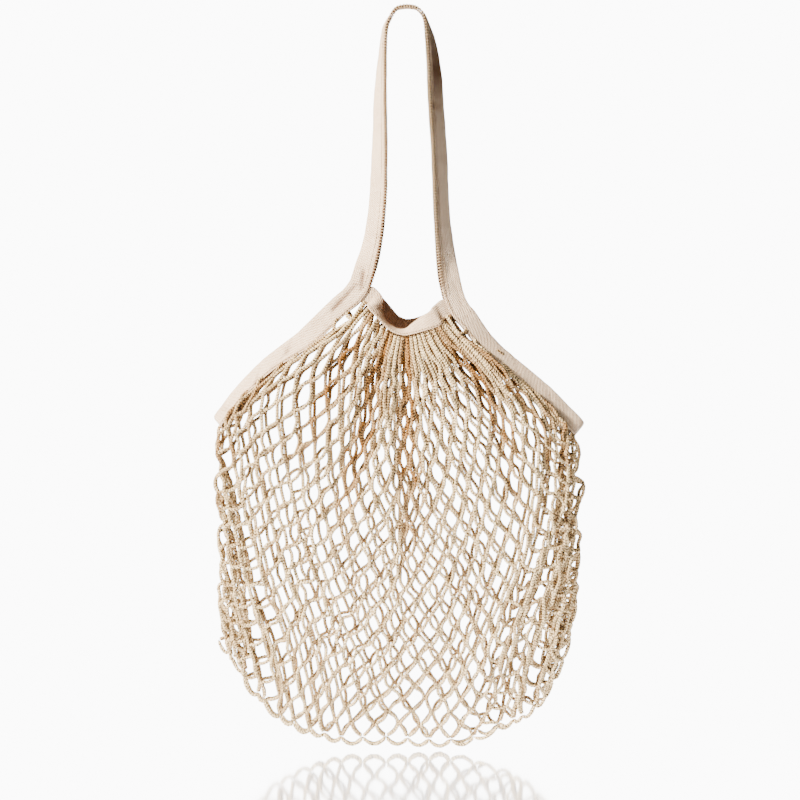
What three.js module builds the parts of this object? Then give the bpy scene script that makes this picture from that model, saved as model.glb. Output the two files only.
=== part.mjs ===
import * as THREE from "three";

// String shopping bag, hanging from its long shoulder strap.
// Millimetres, +Z up, the front faces -Y. The origin is the underside of the strap's highest point.

// Driving sizes
const STRAP_DROP = 305; // from the hanging point down to the strap's two feet
const NET_HEIGHT = 463; // from the strap's feet down to the lowest loops
const NET_WIDTH = 380; // across the net at its widest
const NET_DEPTH = 70; // front to back at the belly
const MOUTH_WIDTH = 94; // between the two strap feet
const MOUTH_GAP = 46; // front to back across the open mouth
const TAPE_WIDTH = 22; // the woven tape of the strap and of the side slits
const BAND_WIDTH = 19; // the two ribbons between the strap feet
const TAPE_THICKNESS = 1.6;
const NET_WALL = 3; // the knitted net, as thick as its cords
const CLEARANCE = 0.3; // between neighbouring pieces
const SEAM_SCALLOP = 3; // height of the loops along the bottom seam
const BAND_TUCK = 11; // length of a band's end between the two tapes
const TUCK_INSET = 8.8; // from the tape's edge to the point at which a band's end aims
const FOOT_DROP = 1.65; // how far the net hangs below the bands beside a foot

// Resolution of the net: columns in one panel, rows from rim to seam, pitch of the openings
const PANEL_COLUMNS = 42;
const NET_ROWS = 27;
const OPENING_PITCH_COLUMNS = 6;
const OPENING_REACH_COLUMNS = 2;
const STRAP_STEPS = 3; // sections in each row of the strap table
const BAND_FLAT_COLUMNS = 2; // columns beside a foot in which the bands lie flat together
const TUCK_START_STEPS = 1.7; // sections up the strap that set the slant of a band's foot
const TUCK_END_STEPS = 2.5; // and of its tucked end

const ROUND_COLUMNS = 2 * PANEL_COLUMNS;
const HALF_WIDTH = NET_WIDTH / 2;
const LAYER = TAPE_THICKNESS + CLEARANCE;
const LEFT_FOOT_COLUMN = 9; // column at the foot of the strap's left leg
const RIGHT_FOOT_COLUMN = 33; // column at the foot of its right leg

// The net's columns. x0 to x4 are shares of half the width: at the rim, at the quarters and at the
// seam. rim and seam are the drops of a column's ends below the strap's feet, as shares of the
// net's height.
const NET = [
  { column: 0, x0: -0.996, rim: 0.264, x1: -1.03, x2: -1.022, x3: -1.018, x4: -1.007, seam: 0.763 },
  { column: 2, x0: -0.876, rim: 0.204, x1: -0.94, x2: -0.963, x3: -0.977, x4: -0.941, seam: 0.801 },
  { column: 4, x0: -0.712, rim: 0.143, x1: -0.83, x2: -0.89, x3: -0.93, x4: -0.887, seam: 0.842 },
  { column: 6, x0: -0.52, rim: 0.094, x1: -0.68, x2: -0.807, x3: -0.885, x4: -0.85, seam: 0.869 },
  { column: 9, x0: -0.241, rim: -0.007, x1: -0.414, x2: -0.684, x3: -0.84, x4: -0.81, seam: 0.887 },
  { column: 13, x0: -0.186, rim: 0.013, x1: -0.279, x2: -0.438, x3: -0.68, x4: -0.75, seam: 0.918 },
  { column: 16, x0: -0.104, rim: 0.047, x1: -0.162, x2: -0.288, x3: -0.475, x4: -0.635, seam: 0.963 },
  { column: 18.5, x0: -0.055, rim: 0.061, x1: -0.081, x2: -0.124, x3: -0.268, x4: -0.438, seam: 0.995 },
  { column: 21, x0: 0, rim: 0.066, x1: 0.007, x2: 0.016, x3: -0.007, x4: -0.082, seam: 0.99 },
  { column: 23.5, x0: 0.055, rim: 0.062, x1: 0.081, x2: 0.114, x3: 0.15, x4: 0.235, seam: 0.992 },
  { column: 26, x0: 0.104, rim: 0.057, x1: 0.157, x2: 0.219, x3: 0.39, x4: 0.547, seam: 0.968 },
  { column: 29, x0: 0.181, rim: 0.047, x1: 0.311, x2: 0.511, x3: 0.66, x4: 0.69, seam: 0.929 },
  { column: 33, x0: 0.252, rim: 0.024, x1: 0.496, x2: 0.74, x3: 0.775, x4: 0.772, seam: 0.887 },
  { column: 36, x0: 0.4, rim: 0.091, x1: 0.713, x2: 0.823, x3: 0.826, x4: 0.799, seam: 0.86 },
  { column: 38, x0: 0.586, rim: 0.152, x1: 0.8, x2: 0.859, x3: 0.859, x4: 0.827, seam: 0.824 },
  { column: 40, x0: 0.766, rim: 0.222, x1: 0.888, x2: 0.903, x3: 0.893, x4: 0.854, seam: 0.786 },
  { column: 42, x0: 0.914, rim: 0.285, x1: 0.948, x2: 0.933, x3: 0.921, x4: 0.881, seam: 0.743 },
];

// The tape along the side slits. lean is the way its width points in the front view, in degrees
// from +X; turn swings the outer edge away from the viewer. apart (share of the net's depth) and
// tuck (0 to 1, room for the two bands) part the back tape from the front one; lift (share of the
// tape's width) raises it.
const SLITS = [
  { column: 0, lean: 107, turn: 50, apart: 0.09, tuck: 0, lift: 0 },
  { column: 2, lean: 125, turn: 52, apart: 0.11, tuck: 0, lift: 0.12 },
  { column: 4, lean: 130, turn: 45, apart: 0.12, tuck: 0, lift: 0.25 },
  { column: 6, lean: 126, turn: 25, apart: 0.1, tuck: 0, lift: 0.2 },
  { column: 9, lean: 142, turn: 8, apart: 0, tuck: 1, lift: 0 },
  { column: 33, lean: 46, turn: 16, apart: 0, tuck: 1, lift: 0 },
  { column: 36, lean: 44, turn: 36, apart: 0.1, tuck: 0, lift: 0.2 },
  { column: 38, lean: 51, turn: 50, apart: 0.12, tuck: 0, lift: 0.25 },
  { column: 40, lean: 47, turn: 40, apart: 0.11, tuck: 0, lift: 0.12 },
  { column: 42, lean: 42, turn: 40, apart: 0.09, tuck: 0, lift: 0 },
];

// The inner edge of the strap from the left foot over the top to the right one. x is a share of
// half the mouth's width, drop a share of the strap's drop.
const STRAP = [
  { x: -0.788, drop: 0.945, lean: 156, turn: 8, tuck: 1 },
  { x: -0.69, drop: 0.896, lean: 164, turn: 10, tuck: 1 },
  { x: -0.611, drop: 0.842, lean: 172, turn: 30, tuck: 0.6 },
  { x: -0.496, drop: 0.743, lean: 176, turn: 37, tuck: 0.1 },
  { x: -0.42, drop: 0.586, lean: 180, turn: 43, tuck: 0 },
  { x: -0.42, drop: 0.471, lean: 180, turn: 49, tuck: 0 },
  { x: -0.436, drop: 0.3, lean: 180, turn: 58, tuck: 0 },
  { x: -0.445, drop: 0.167, lean: 180, turn: 71, tuck: 0 },
  { x: -0.423, drop: 0.075, lean: 175, turn: 78, tuck: 0 },
  { x: -0.321, drop: 0.027, lean: 150, turn: 84, tuck: 0 },
  { x: -0.166, drop: -0.004, lean: 110, turn: 88, tuck: 0 },
  { x: 0.022, drop: -0.01, lean: 90, turn: 90, tuck: 0 },
  { x: 0.21, drop: -0.006, lean: 70, turn: 88, tuck: 0 },
  { x: 0.354, drop: 0.01, lean: 40, turn: 85, tuck: 0 },
  { x: 0.443, drop: 0.038, lean: 10, turn: 80, tuck: 0 },
  { x: 0.489, drop: 0.126, lean: 0, turn: 62, tuck: 0 },
  { x: 0.522, drop: 0.273, lean: 0, turn: 48, tuck: 0 },
  { x: 0.6, drop: 0.471, lean: 0, turn: 46, tuck: 0 },
  { x: 0.642, drop: 0.627, lean: 0, turn: 46, tuck: 0 },
  { x: 0.686, drop: 0.764, lean: 0, turn: 41, tuck: 0.1 },
  { x: 0.737, drop: 0.85, lean: 3, turn: 33, tuck: 0.6 },
  { x: 0.78, drop: 0.91, lean: 12, turn: 22, tuck: 1 },
  { x: 0.85, drop: 0.965, lean: 26, turn: 18, tuck: 1 },
];

// The two ribbons of the mouth. gap is a share of half the mouth's gap; rise lifts the back
// rim above the front one, a share of the band's width.
const MOUTH = [
  { column: 9, frontLean: 62, frontTurn: 8, backLean: 62, backTurn: 8, gap: 0, rise: 0 },
  { column: 13, frontLean: 50, frontTurn: 58, backLean: 55, backTurn: 14, gap: 0.62, rise: 0.04 },
  { column: 16, frontLean: 56, frontTurn: 72, backLean: 68, backTurn: 18, gap: 0.86, rise: 0.1 },
  { column: 18.5, frontLean: 75, frontTurn: 75, backLean: 80, backTurn: 18, gap: 0.96, rise: 0.16 },
  { column: 21, frontLean: 92, frontTurn: 72, backLean: 90, backTurn: 18, gap: 1, rise: 0.2 },
  { column: 23.5, frontLean: 98, frontTurn: 62, backLean: 95, backTurn: 18, gap: 0.98, rise: 0.16 },
  { column: 26, frontLean: 102, frontTurn: 50, backLean: 102, backTurn: 18, gap: 0.9, rise: 0.1 },
  { column: 29, frontLean: 110, frontTurn: 32, backLean: 112, backTurn: 15, gap: 0.64, rise: 0.04 },
  { column: 33, frontLean: 122, frontTurn: 14, backLean: 122, backTurn: 14, gap: 0, rise: 0 },
];

// Half the net's depth down a column, as shares of half the net's depth.
const BELLY = [
  { share: 0, side: 0.2, middle: 0.72 },
  { share: 0.2, side: 0.24, middle: 0.88 },
  { share: 0.45, side: 0.3, middle: 1 },
  { share: 0.7, side: 0.28, middle: 0.86 },
  { share: 0.88, side: 0.22, middle: 0.52 },
  { share: 1, side: 0.16, middle: 0.3 },
];

// Folds pressed into both panels: where they lie, half their breadth in columns, their depth as a
// share of the net's depth, and the share of the column at which they have gone.
const PLEATS = [
  { column: 1.6, breadth: 0.7, depth: 0.035, reach: 0.95 },
  { column: 3.8, breadth: 0.8, depth: 0.05, reach: 0.9 },
  { column: 6.4, breadth: 0.9, depth: 0.04, reach: 0.8 },
  { column: 12.4, breadth: 1.0, depth: 0.045, reach: 0.6 },
  { column: 16.6, breadth: 1.0, depth: 0.05, reach: 0.66 },
  { column: 20.8, breadth: 0.9, depth: 0.045, reach: 0.7 },
  { column: 28.4, breadth: 1.0, depth: 0.05, reach: 0.62 },
  { column: 32.8, breadth: 1.0, depth: 0.045, reach: 0.55 },
  { column: 36.4, breadth: 0.9, depth: 0.04, reach: 0.85 },
  { column: 38.4, breadth: 0.8, depth: 0.05, reach: 0.9 },
  { column: 40.4, breadth: 0.7, depth: 0.035, reach: 0.95 },
];

// One value of a table between its rows, on a smooth curve through them that never overshoots.
function between(rows, by, at, key) {
  const last = rows.length - 1;
  let i = 0;
  while (i < last - 1 && at > rows[i + 1][by]) i += 1;
  const a = rows[i];
  const b = rows[i + 1];
  const span = b[by] - a[by];
  const t = THREE.MathUtils.clamp((at - a[by]) / span, 0, 1);
  const rise = (j) => (rows[j + 1][key] - rows[j][key]) / (rows[j + 1][by] - rows[j][by]);
  const slope = (j) => {
    if (j === 0) return rise(0);
    if (j === last) return rise(last - 1);
    const p = rise(j - 1);
    const q = rise(j);
    return p * q > 0 ? (2 * p * q) / (p + q) : 0;
  };
  const t2 = t * t;
  const t3 = t2 * t;
  return (
    (2 * t3 - 3 * t2 + 1) * a[key] +
    (t3 - 2 * t2 + t) * span * slope(i) +
    (3 * t2 - 2 * t3) * b[key] +
    (t3 - t2) * span * slope(i + 1)
  );
}

const smooth = THREE.MathUtils.smoothstep;

// Height of a point that lies the given share of the net's height below the strap's feet.
const netZ = (drop) => -STRAP_DROP - drop * NET_HEIGHT;

// The way a ribbon's width points: lean in the front view, turned away from the viewer.
function widthWay(lean, turn) {
  const a = THREE.MathUtils.degToRad(lean);
  const b = THREE.MathUtils.degToRad(turn);
  return new THREE.Vector3(Math.cos(b) * Math.cos(a), Math.sin(b), Math.cos(b) * Math.sin(a));
}

// Turns a list of edge points with width directions into stations: along the path, across the
// ribbon, and the normal that faces the back. A point that has its normal keeps it.
function stationsFrom(points) {
  return points.map((p, i) => {
    if (p.back) return p;
    const before = points[Math.max(i - 1, 0)].edge;
    const after = points[Math.min(i + 1, points.length - 1)].edge;
    const along = after.clone().sub(before).normalize();
    const across = p.across.clone().addScaledVector(along, -p.across.dot(along)).normalize();
    const back = across.clone().cross(along).normalize();
    return { ...p, along, across, back };
  });
}

// The front tape's inner edge: left slit, strap, right slit.
function frontTapeStations() {
  const slit = (column) => {
    const at = (key) => between(SLITS, "column", column, key);
    const apart = LAYER * (1 + 2 * at("tuck")) + at("apart") * NET_DEPTH;
    return {
      column,
      edge: new THREE.Vector3(
        HALF_WIDTH * between(NET, "column", column, "x0"),
        -apart / 2,
        netZ(between(NET, "column", column, "rim")),
      ),
      across: widthWay(at("lean"), at("turn")),
      apart,
      lift: at("lift") * TAPE_WIDTH,
    };
  };
  const rows = STRAP.map((row, i) => ({ ...row, i }));
  const strap = [];
  for (let i = 0; i <= (rows.length - 1) * STRAP_STEPS; i += 1) {
    const at = (key) => between(rows, "i", i / STRAP_STEPS, key);
    const across = widthWay(at("lean"), at("turn"));
    const apart = LAYER * (1 + 2 * at("tuck"));
    const foot = Math.max(at("tuck"), 0);
    const outer = (-TAPE_WIDTH / 2) * across.y;
    strap.push({
      column: null,
      edge: new THREE.Vector3(
        (at("x") * MOUTH_WIDTH) / 2,
        THREE.MathUtils.lerp(outer, -apart / 2, foot),
        -at("drop") * STRAP_DROP,
      ),
      across,
      apart,
      lift: 0,
    });
  }
  const left = [];
  for (let c = 0; c <= LEFT_FOOT_COLUMN; c += 1) left.push(slit(c));
  const right = [];
  for (let c = RIGHT_FOOT_COLUMN; c <= PANEL_COLUMNS; c += 1) right.push(slit(c));
  return stationsFrom([...left, ...strap, ...right]);
}

// The same stations on the back tape: one layer or more behind, and raised along the slits.
const backTapeStations = (front) =>
  front.map((s) => ({
    ...s,
    edge: s.edge.clone().addScaledVector(s.back, s.apart).addScaledVector(s.across, s.lift),
  }));

// The front tape's way round the bottom of a slit: a half circle from its end to the back tape.
// side is -1 at the left corner and 1 at the right one.
function slitCorner(end, side, angles) {
  const radius = end.apart / 2;
  return angles.map((angle) => {
    const edge = end.edge
      .clone()
      .addScaledVector(end.back, radius * (1 - Math.cos(angle)))
      .addScaledVector(end.along, side * radius * Math.sin(angle));
    const back = end.back
      .clone()
      .multiplyScalar(Math.cos(angle))
      .addScaledVector(end.along, -side * Math.sin(angle));
    return { ...end, edge, back };
  });
}

// A band of the mouth: its lower edge and width at each column, its ends laid flat between the
// tapes. side is -1 in front and 1 at the back.
function bandStations(tape, side) {
  const name = side < 0 ? "front" : "back";
  const free = (c) => {
    const at = (key) => between(MOUTH, "column", c, key);
    const rise = side > 0 ? at("rise") * BAND_WIDTH : 0;
    return {
      column: c,
      edge: new THREE.Vector3(
        HALF_WIDTH * between(NET, "column", c, "x0"),
        (side * at("gap") * MOUTH_GAP) / 2,
        netZ(between(NET, "column", c, "rim")) + rise,
      ),
      across: widthWay(at(name + "Lean"), at(name + "Turn")),
    };
  };
  // A point midway between the two tapes, at a station counted from a foot up the strap.
  const midway = (foot, up, share, way) => {
    const i = Math.floor(up);
    const a = tape[foot + way * i];
    const b = tape[foot + way * (i + 1)];
    const place = (s) =>
      s.edge
        .clone()
        .addScaledVector(s.across, share * TAPE_WIDTH)
        .addScaledVector(s.back, s.apart / 2);
    return {
      point: place(a).lerp(place(b), up - i),
      back: a.back.clone().lerp(b.back, up - i),
    };
  };
  const tucked = (column, low, high) => {
    const back = low.back.clone().add(high.back).normalize();
    const across = high.point.clone().sub(low.point);
    across.addScaledVector(back, -across.dot(back)).normalize();
    const edge = low.point.clone().addScaledVector(back, (side * LAYER) / 2);
    return { column, edge, across, back };
  };
  const foot = (column, way) => {
    const i = tape.findIndex((station) => station.column === column);
    const inside = midway(i, 0, BAND_TUCK / TAPE_WIDTH, way);
    const aim = midway(i, TUCK_END_STEPS, TUCK_INSET / TAPE_WIDTH, way);
    const end = tucked(null, inside, aim);
    const start = tucked(column, midway(i, 0, 0, way), midway(i, TUCK_START_STEPS, 0, way));
    // Beside the foot the band still lies in the tape's plane.
    const flat = Array.from({ length: BAND_FLAT_COLUMNS }, (_, k) => {
      const { column: c, edge } = free(column + way * (k + 1));
      edge.addScaledVector(start.back, start.edge.clone().sub(edge).dot(start.back));
      return { ...start, column: c, edge };
    });
    return [end, start, ...flat];
  };
  const left = foot(LEFT_FOOT_COLUMN, 1);
  const right = foot(RIGHT_FOOT_COLUMN, -1).reverse();
  const points = [];
  const from = LEFT_FOOT_COLUMN + BAND_FLAT_COLUMNS + 1;
  const to = RIGHT_FOOT_COLUMN - BAND_FLAT_COLUMNS - 1;
  for (let c = from; c <= to; c += 1) points.push(free(c));
  return stationsFrom([...left, ...points, ...right]);
}

// Collects points and triangles into one closed body.
class Shell {
  constructor() {
    this.points = [];
    this.triangles = [];
  }

  add(point) {
    this.points.push(point.x, point.y, point.z);
    return this.points.length / 3 - 1;
  }

  triangle(a, b, c) {
    this.triangles.push(a, b, c);
  }

  quad(a, b, c, d) {
    this.triangle(a, b, c);
    this.triangle(a, c, d);
  }

  geometry() {
    const geometry = new THREE.BufferGeometry();
    geometry.setAttribute("position", new THREE.Float32BufferAttribute(this.points, 3));
    geometry.setIndex(this.triangles);
    return geometry;
  }
}

// A ribbon through its stations: three points across the front face and three across the back
// face, closed at both ends.
function ribbon(stations, width, thickness) {
  const shell = new Shell();
  const cuts = [0, 0.5, 1];
  const rings = stations.map((s) => {
    const at = (share, way) =>
      shell.add(
        s.edge
          .clone()
          .addScaledVector(s.across, share * width)
          .addScaledVector(s.back, (way * thickness) / 2),
      );
    return [...cuts.map((share) => at(share, -1)), ...cuts.map((share) => at(1 - share, 1))];
  });
  const size = 2 * cuts.length;
  for (let i = 0; i + 1 < rings.length; i += 1) {
    for (let k = 0; k < size; k += 1) {
      const n = (k + 1) % size;
      const corners = [rings[i][k], rings[i + 1][k], rings[i + 1][n], rings[i][n]];
      // Both faces are split along the same diagonal, so that stacked ribbons stay parallel.
      if (k >= cuts.length) corners.push(corners.shift());
      shell.quad(...corners);
    }
  }
  for (const [ring, flip] of [
    [rings[0], false],
    [rings[rings.length - 1], true],
  ]) {
    for (let k = 0; k + 1 < cuts.length; k += 1) {
      const quad = [ring[k], ring[k + 1], ring[size - 2 - k], ring[size - 1 - k]];
      if (flip) quad.reverse();
      shell.quad(...quad);
    }
  }
  return shell.geometry();
}

// The rim of the net under the ribbons: one point and one normal for each column all round.
function rimStations(tape, backTape, frontBand, backBand) {
  const rim = new Array(ROUND_COLUMNS);
  const fold = (end, side) => {
    const [middle] = slitCorner(end, side, [Math.PI / 2]);
    return {
      point: middle.edge.clone().addScaledVector(middle.across, -CLEARANCE),
      out: middle.back.clone().negate(),
    };
  };
  rim[0] = fold(tape[0], -1);
  rim[PANEL_COLUMNS] = fold(tape[tape.length - 1], 1);
  for (let c = 1; c < PANEL_COLUMNS; c += 1) {
    const inside = Math.min(c - LEFT_FOOT_COLUMN, RIGHT_FOOT_COLUMN - c);
    const flat = inside >= 0 && inside <= BAND_FLAT_COLUMNS + 1;
    for (const [ribbons, side, index] of [
      [[tape, frontBand], -1, c],
      [[backTape, backBand], 1, ROUND_COLUMNS - c],
    ]) {
      const found = ribbons.map((list) => list.find((s) => s.column === c)).filter(Boolean);
      const edge = new THREE.Vector3();
      const across = new THREE.Vector3();
      const back = new THREE.Vector3();
      for (const s of found) {
        edge.addScaledVector(s.edge, 1 / found.length);
        across.add(s.across);
        back.add(s.back);
      }
      across.normalize();
      back.normalize();
      if (flat) edge.z -= FOOT_DROP;
      else edge.addScaledVector(across, -CLEARANCE);
      rim[index] = { point: edge, out: back.multiplyScalar(side) };
    }
  }
  return rim;
}

// Half the net's depth at a column of the panel and a share of the way down.
function halfDepth(column, share) {
  const across = (2 * column) / PANEL_COLUMNS - 1;
  const side = between(BELLY, "share", share, "side");
  const middle = between(BELLY, "share", share, "middle");
  const fromFold = Math.min(column, PANEL_COLUMNS - column) / 2.5;
  const round = fromFold < 1 ? Math.sqrt(1 - (1 - fromFold) ** 2) : 1;
  let depth = (NET_DEPTH / 2) * (side + (middle - side) * (1 - across * across)) * round;
  for (const pleat of PLEATS) {
    const bell = Math.exp(-(((column - pleat.column) / pleat.breadth) ** 2));
    const held = smooth(share, 0.02, 0.1) * (1 - smooth(share, pleat.reach * 0.55, pleat.reach));
    depth -= pleat.depth * NET_DEPTH * bell * held;
  }
  const seam = (NET_WALL / 2 + CLEARANCE) * (column > 0 && column < PANEL_COLUMNS ? 1 : 0);
  return THREE.MathUtils.lerp(depth, seam, smooth(share, 0.84, 1));
}

// The middle surface of the net: rows of points all round, from the rim to the seam.
function netSurface(rim) {
  const rows = [];
  for (let r = 0; r <= NET_ROWS; r += 1) {
    const share = r / NET_ROWS;
    const row = [];
    for (let c = 0; c < ROUND_COLUMNS; c += 1) {
      const side = c <= PANEL_COLUMNS ? -1 : 1;
      const column = side < 0 ? c : ROUND_COLUMNS - c;
      const at = (key) => between(NET, "column", column, key);
      const path = [
        { share: 0, x: rim[c].point.x },
        { share: 0.25, x: HALF_WIDTH * at("x1") },
        { share: 0.5, x: HALF_WIDTH * at("x2") },
        { share: 0.75, x: HALF_WIDTH * at("x3") },
        { share: 1, x: HALF_WIDTH * at("x4") },
      ];
      const scallop = r === NET_ROWS ? (column % 2 ? 0.5 : -0.5) * SEAM_SCALLOP : 0;
      const seamZ = netZ(at("seam")) + scallop;
      const y = side * halfDepth(column, share);
      row.push(
        r === 0
          ? rim[c].point.clone()
          : new THREE.Vector3(
              between(path, "share", share, "x"),
              THREE.MathUtils.lerp(rim[c].point.y, y, smooth(share, 0, 0.2)),
              THREE.MathUtils.lerp(rim[c].point.z, seamZ, share),
            ),
      );
    }
    rows.push(row);
  }
  return rows;
}

// The way out of the net at each point of its middle surface.
function netNormals(rows, rim) {
  return rows.map((row, r) =>
    row.map((_, c) => {
      if (r === 0) return rim[c].out.clone();
      if (r === NET_ROWS) {
        if (c % PANEL_COLUMNS === 0) return new THREE.Vector3(c === 0 ? -1 : 1, 0, 0);
        return new THREE.Vector3(0, c < PANEL_COLUMNS ? -1 : 1, 0);
      }
      const right = row[(c + 1) % ROUND_COLUMNS];
      const left = row[(c + ROUND_COLUMNS - 1) % ROUND_COLUMNS];
      const round = right.clone().sub(left);
      const down = rows[r + 1][c].clone().sub(rows[r - 1][c]);
      return down.cross(round).normalize();
    }),
  );
}

// Where a cell of the net lies against the openings: whole, gone, or cut along a diagonal.
function cellKind(c, r) {
  for (let level = 1; level * 3 < NET_ROWS; level += 1) {
    const dy = r + 0.5 - level * 3;
    const start = level % 2 ? 0 : OPENING_PITCH_COLUMNS / 2;
    const turn = (c + 0.5 - start + ROUND_COLUMNS) % OPENING_PITCH_COLUMNS;
    const dx = turn > OPENING_PITCH_COLUMNS / 2 ? turn - OPENING_PITCH_COLUMNS : turn;
    const reach = Math.abs(dx) + Math.abs(dy);
    if (reach < OPENING_REACH_COLUMNS) return { gone: true };
    if (reach === OPENING_REACH_COLUMNS) return { cut: true, right: Math.sign(dx), down: Math.sign(dy) };
  }
  return {};
}

// The triangles of the net's surface, as column and row indices, all facing out.
function netTriangles() {
  const list = [];
  const id = (c, r) => r * ROUND_COLUMNS + (c % ROUND_COLUMNS);
  for (let r = 0; r < NET_ROWS; r += 1) {
    for (let c = 0; c < ROUND_COLUMNS; c += 1) {
      const kind = cellKind(c, r);
      if (kind.gone) continue;
      const topLeft = id(c, r);
      const topRight = id(c + 1, r);
      const lowLeft = id(c, r + 1);
      const lowRight = id(c + 1, r + 1);
      const falling = [
        [topLeft, lowLeft, lowRight],
        [topLeft, lowRight, topRight],
      ];
      const rising = [
        [topLeft, lowLeft, topRight],
        [topRight, lowLeft, lowRight],
      ];
      if (!kind.cut) {
        list.push(...((c + r) % 2 ? falling : rising));
      } else if (kind.right * kind.down > 0) {
        list.push(rising[kind.right > 0 ? 1 : 0]);
      } else {
        list.push(falling[kind.right > 0 ? 1 : 0]);
      }
    }
  }
  for (let c = 0; c < PANEL_COLUMNS; c += 1) {
    const front = id(c, NET_ROWS);
    const nextFront = id(c + 1, NET_ROWS);
    const back = id(ROUND_COLUMNS - c, NET_ROWS);
    const nextBack = id(ROUND_COLUMNS - c - 1, NET_ROWS);
    if (front !== back) list.push([nextFront, front, back]);
    if (nextFront !== nextBack) list.push([nextFront, back, nextBack]);
  }
  return list;
}

// The net as one hollow body: an outer and an inner skin, joined round every opening.
function netBody(rim) {
  const shell = new Shell();
  const rows = netSurface(rim);
  const normals = netNormals(rows, rim);
  const skin = (way) =>
    rows.flatMap((row, r) =>
      row.map((point, c) => {
        const moved = point.clone().addScaledVector(normals[r][c], (way * NET_WALL) / 2);
        if (r === NET_ROWS && way < 0) moved.z += NET_WALL;
        return shell.add(moved);
      }),
    );
  const outer = skin(1);
  const inner = skin(-1);
  const edges = new Set();
  const triangles = netTriangles();
  for (const [a, b, c] of triangles) {
    shell.triangle(outer[a], outer[b], outer[c]);
    shell.triangle(inner[a], inner[c], inner[b]);
    for (const edge of [
      [a, b],
      [b, c],
      [c, a],
    ]) {
      edges.add(edge.join());
    }
  }
  for (const edge of edges) {
    const [a, b] = edge.split(",").map(Number);
    if (edges.has(`${b},${a}`)) continue;
    shell.quad(outer[b], outer[a], inner[a], inner[b]);
  }
  return shell.geometry();
}

function mesh(name, geometry, colour) {
  geometry.computeVertexNormals();
  const material = new THREE.MeshStandardMaterial({ color: colour, roughness: 0.9 });
  const body = new THREE.Mesh(geometry, material);
  body.name = name;
  return body;
}

const tape = frontTapeStations();
const backTape = backTapeStations(tape);
const frontBand = bandStations(tape, -1);
const backBand = bandStations(tape, 1);

const cornerAngles = (end) => {
  const whole = Math.PI - CLEARANCE / (end.apart / 2 - TAPE_THICKNESS / 2);
  return [1, 2, 3, 4, 5].map((i) => (whole * i) / 5);
};
const first = tape[0];
const last = tape[tape.length - 1];
const frontRibbon = [
  ...slitCorner(first, -1, cornerAngles(first)).reverse(),
  ...tape,
  ...slitCorner(last, 1, cornerAngles(last)),
];

const bag = new THREE.Group();
bag.name = "string_shopping_bag";
bag.add(
  mesh("net_body", netBody(rimStations(tape, backTape, frontBand, backBand)), 0xe6dac0),
  mesh("front_tape", ribbon(frontRibbon, TAPE_WIDTH, TAPE_THICKNESS), 0xeee2cf),
  mesh("back_tape", ribbon(backTape, TAPE_WIDTH, TAPE_THICKNESS), 0xe9dcc6),
  mesh("front_mouth_band", ribbon(frontBand, BAND_WIDTH, TAPE_THICKNESS), 0xe8dcc8),
  mesh("back_mouth_band", ribbon(backBand, BAND_WIDTH, TAPE_THICKNESS), 0xdccdb2),
);

export default bag;
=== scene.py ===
"""Looks of the string shopping bag: knotless cotton net, twill tapes, mouth bands and their seams.

Every surface is worked out with numpy from the same named sizes and short tables as the solids,
in the solids' own frame: +Z up, the front faces -Y, the origin under the strap's highest point.
Sizes are in millimetres here, and the meshes in metres.
"""

from __future__ import annotations

import logging
import math
from dataclasses import dataclass, field
from enum import Enum
from typing import Callable

import bpy
import numpy as np
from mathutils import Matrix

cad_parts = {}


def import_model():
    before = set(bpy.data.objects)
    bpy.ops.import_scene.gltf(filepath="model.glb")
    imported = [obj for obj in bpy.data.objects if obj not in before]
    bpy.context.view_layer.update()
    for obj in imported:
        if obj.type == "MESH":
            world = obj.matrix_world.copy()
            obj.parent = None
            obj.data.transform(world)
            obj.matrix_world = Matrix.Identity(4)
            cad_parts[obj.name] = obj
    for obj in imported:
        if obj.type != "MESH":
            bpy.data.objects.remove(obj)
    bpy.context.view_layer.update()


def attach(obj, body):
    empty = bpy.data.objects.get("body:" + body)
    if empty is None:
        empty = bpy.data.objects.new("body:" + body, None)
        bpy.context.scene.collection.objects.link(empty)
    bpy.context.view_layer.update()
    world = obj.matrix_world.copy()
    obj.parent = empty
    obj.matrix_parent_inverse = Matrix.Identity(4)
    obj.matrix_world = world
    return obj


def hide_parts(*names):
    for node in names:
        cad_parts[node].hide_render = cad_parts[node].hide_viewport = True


log = logging.getLogger("string_bag")

MM = 0.001

# Driving sizes, in millimetres
STRAP_DROP = 305.0
NET_HEIGHT = 463.0
NET_WIDTH = 380.0
NET_DEPTH = 70.0
MOUTH_WIDTH = 94.0
MOUTH_GAP = 46.0
TAPE_WIDTH = 22.0
BAND_WIDTH = 19.0
TAPE_THICKNESS = 1.5
LAYER = 1.9
BAND_TUCK = 11.0

# The cord, the length of one side of a cell, and how far its ends lie behind the ribbons
CORD_RADIUS = 1.8
LEG_LENGTH = 19.2
SEWN_IN = 4.5
SEAM_HALF = 1.8

# The mesh of the net: cells across one panel, half rows from the mouth to the seam, lanes beside
# each strap foot and the half rows that the slits cut away from them
CELLS = 27
HALF_ROWS = 26
LANES = 2 * CELLS
ROUND_LANES = 2 * LANES
SLIT_LANES = 7
SLIT_ROWS = 10
LEFT_FOOT = 9.0
RIGHT_FOOT = 33.0
LAST_COLUMN = 42.0
BAND_FLAT = 2  # columns beside a foot in which a band lies in the tape's plane
STRAP_STEPS = 3  # stations to a row of the table STRAP
FINER = 7  # finer stations to a station
PLACES_ACROSS = 19

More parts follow.
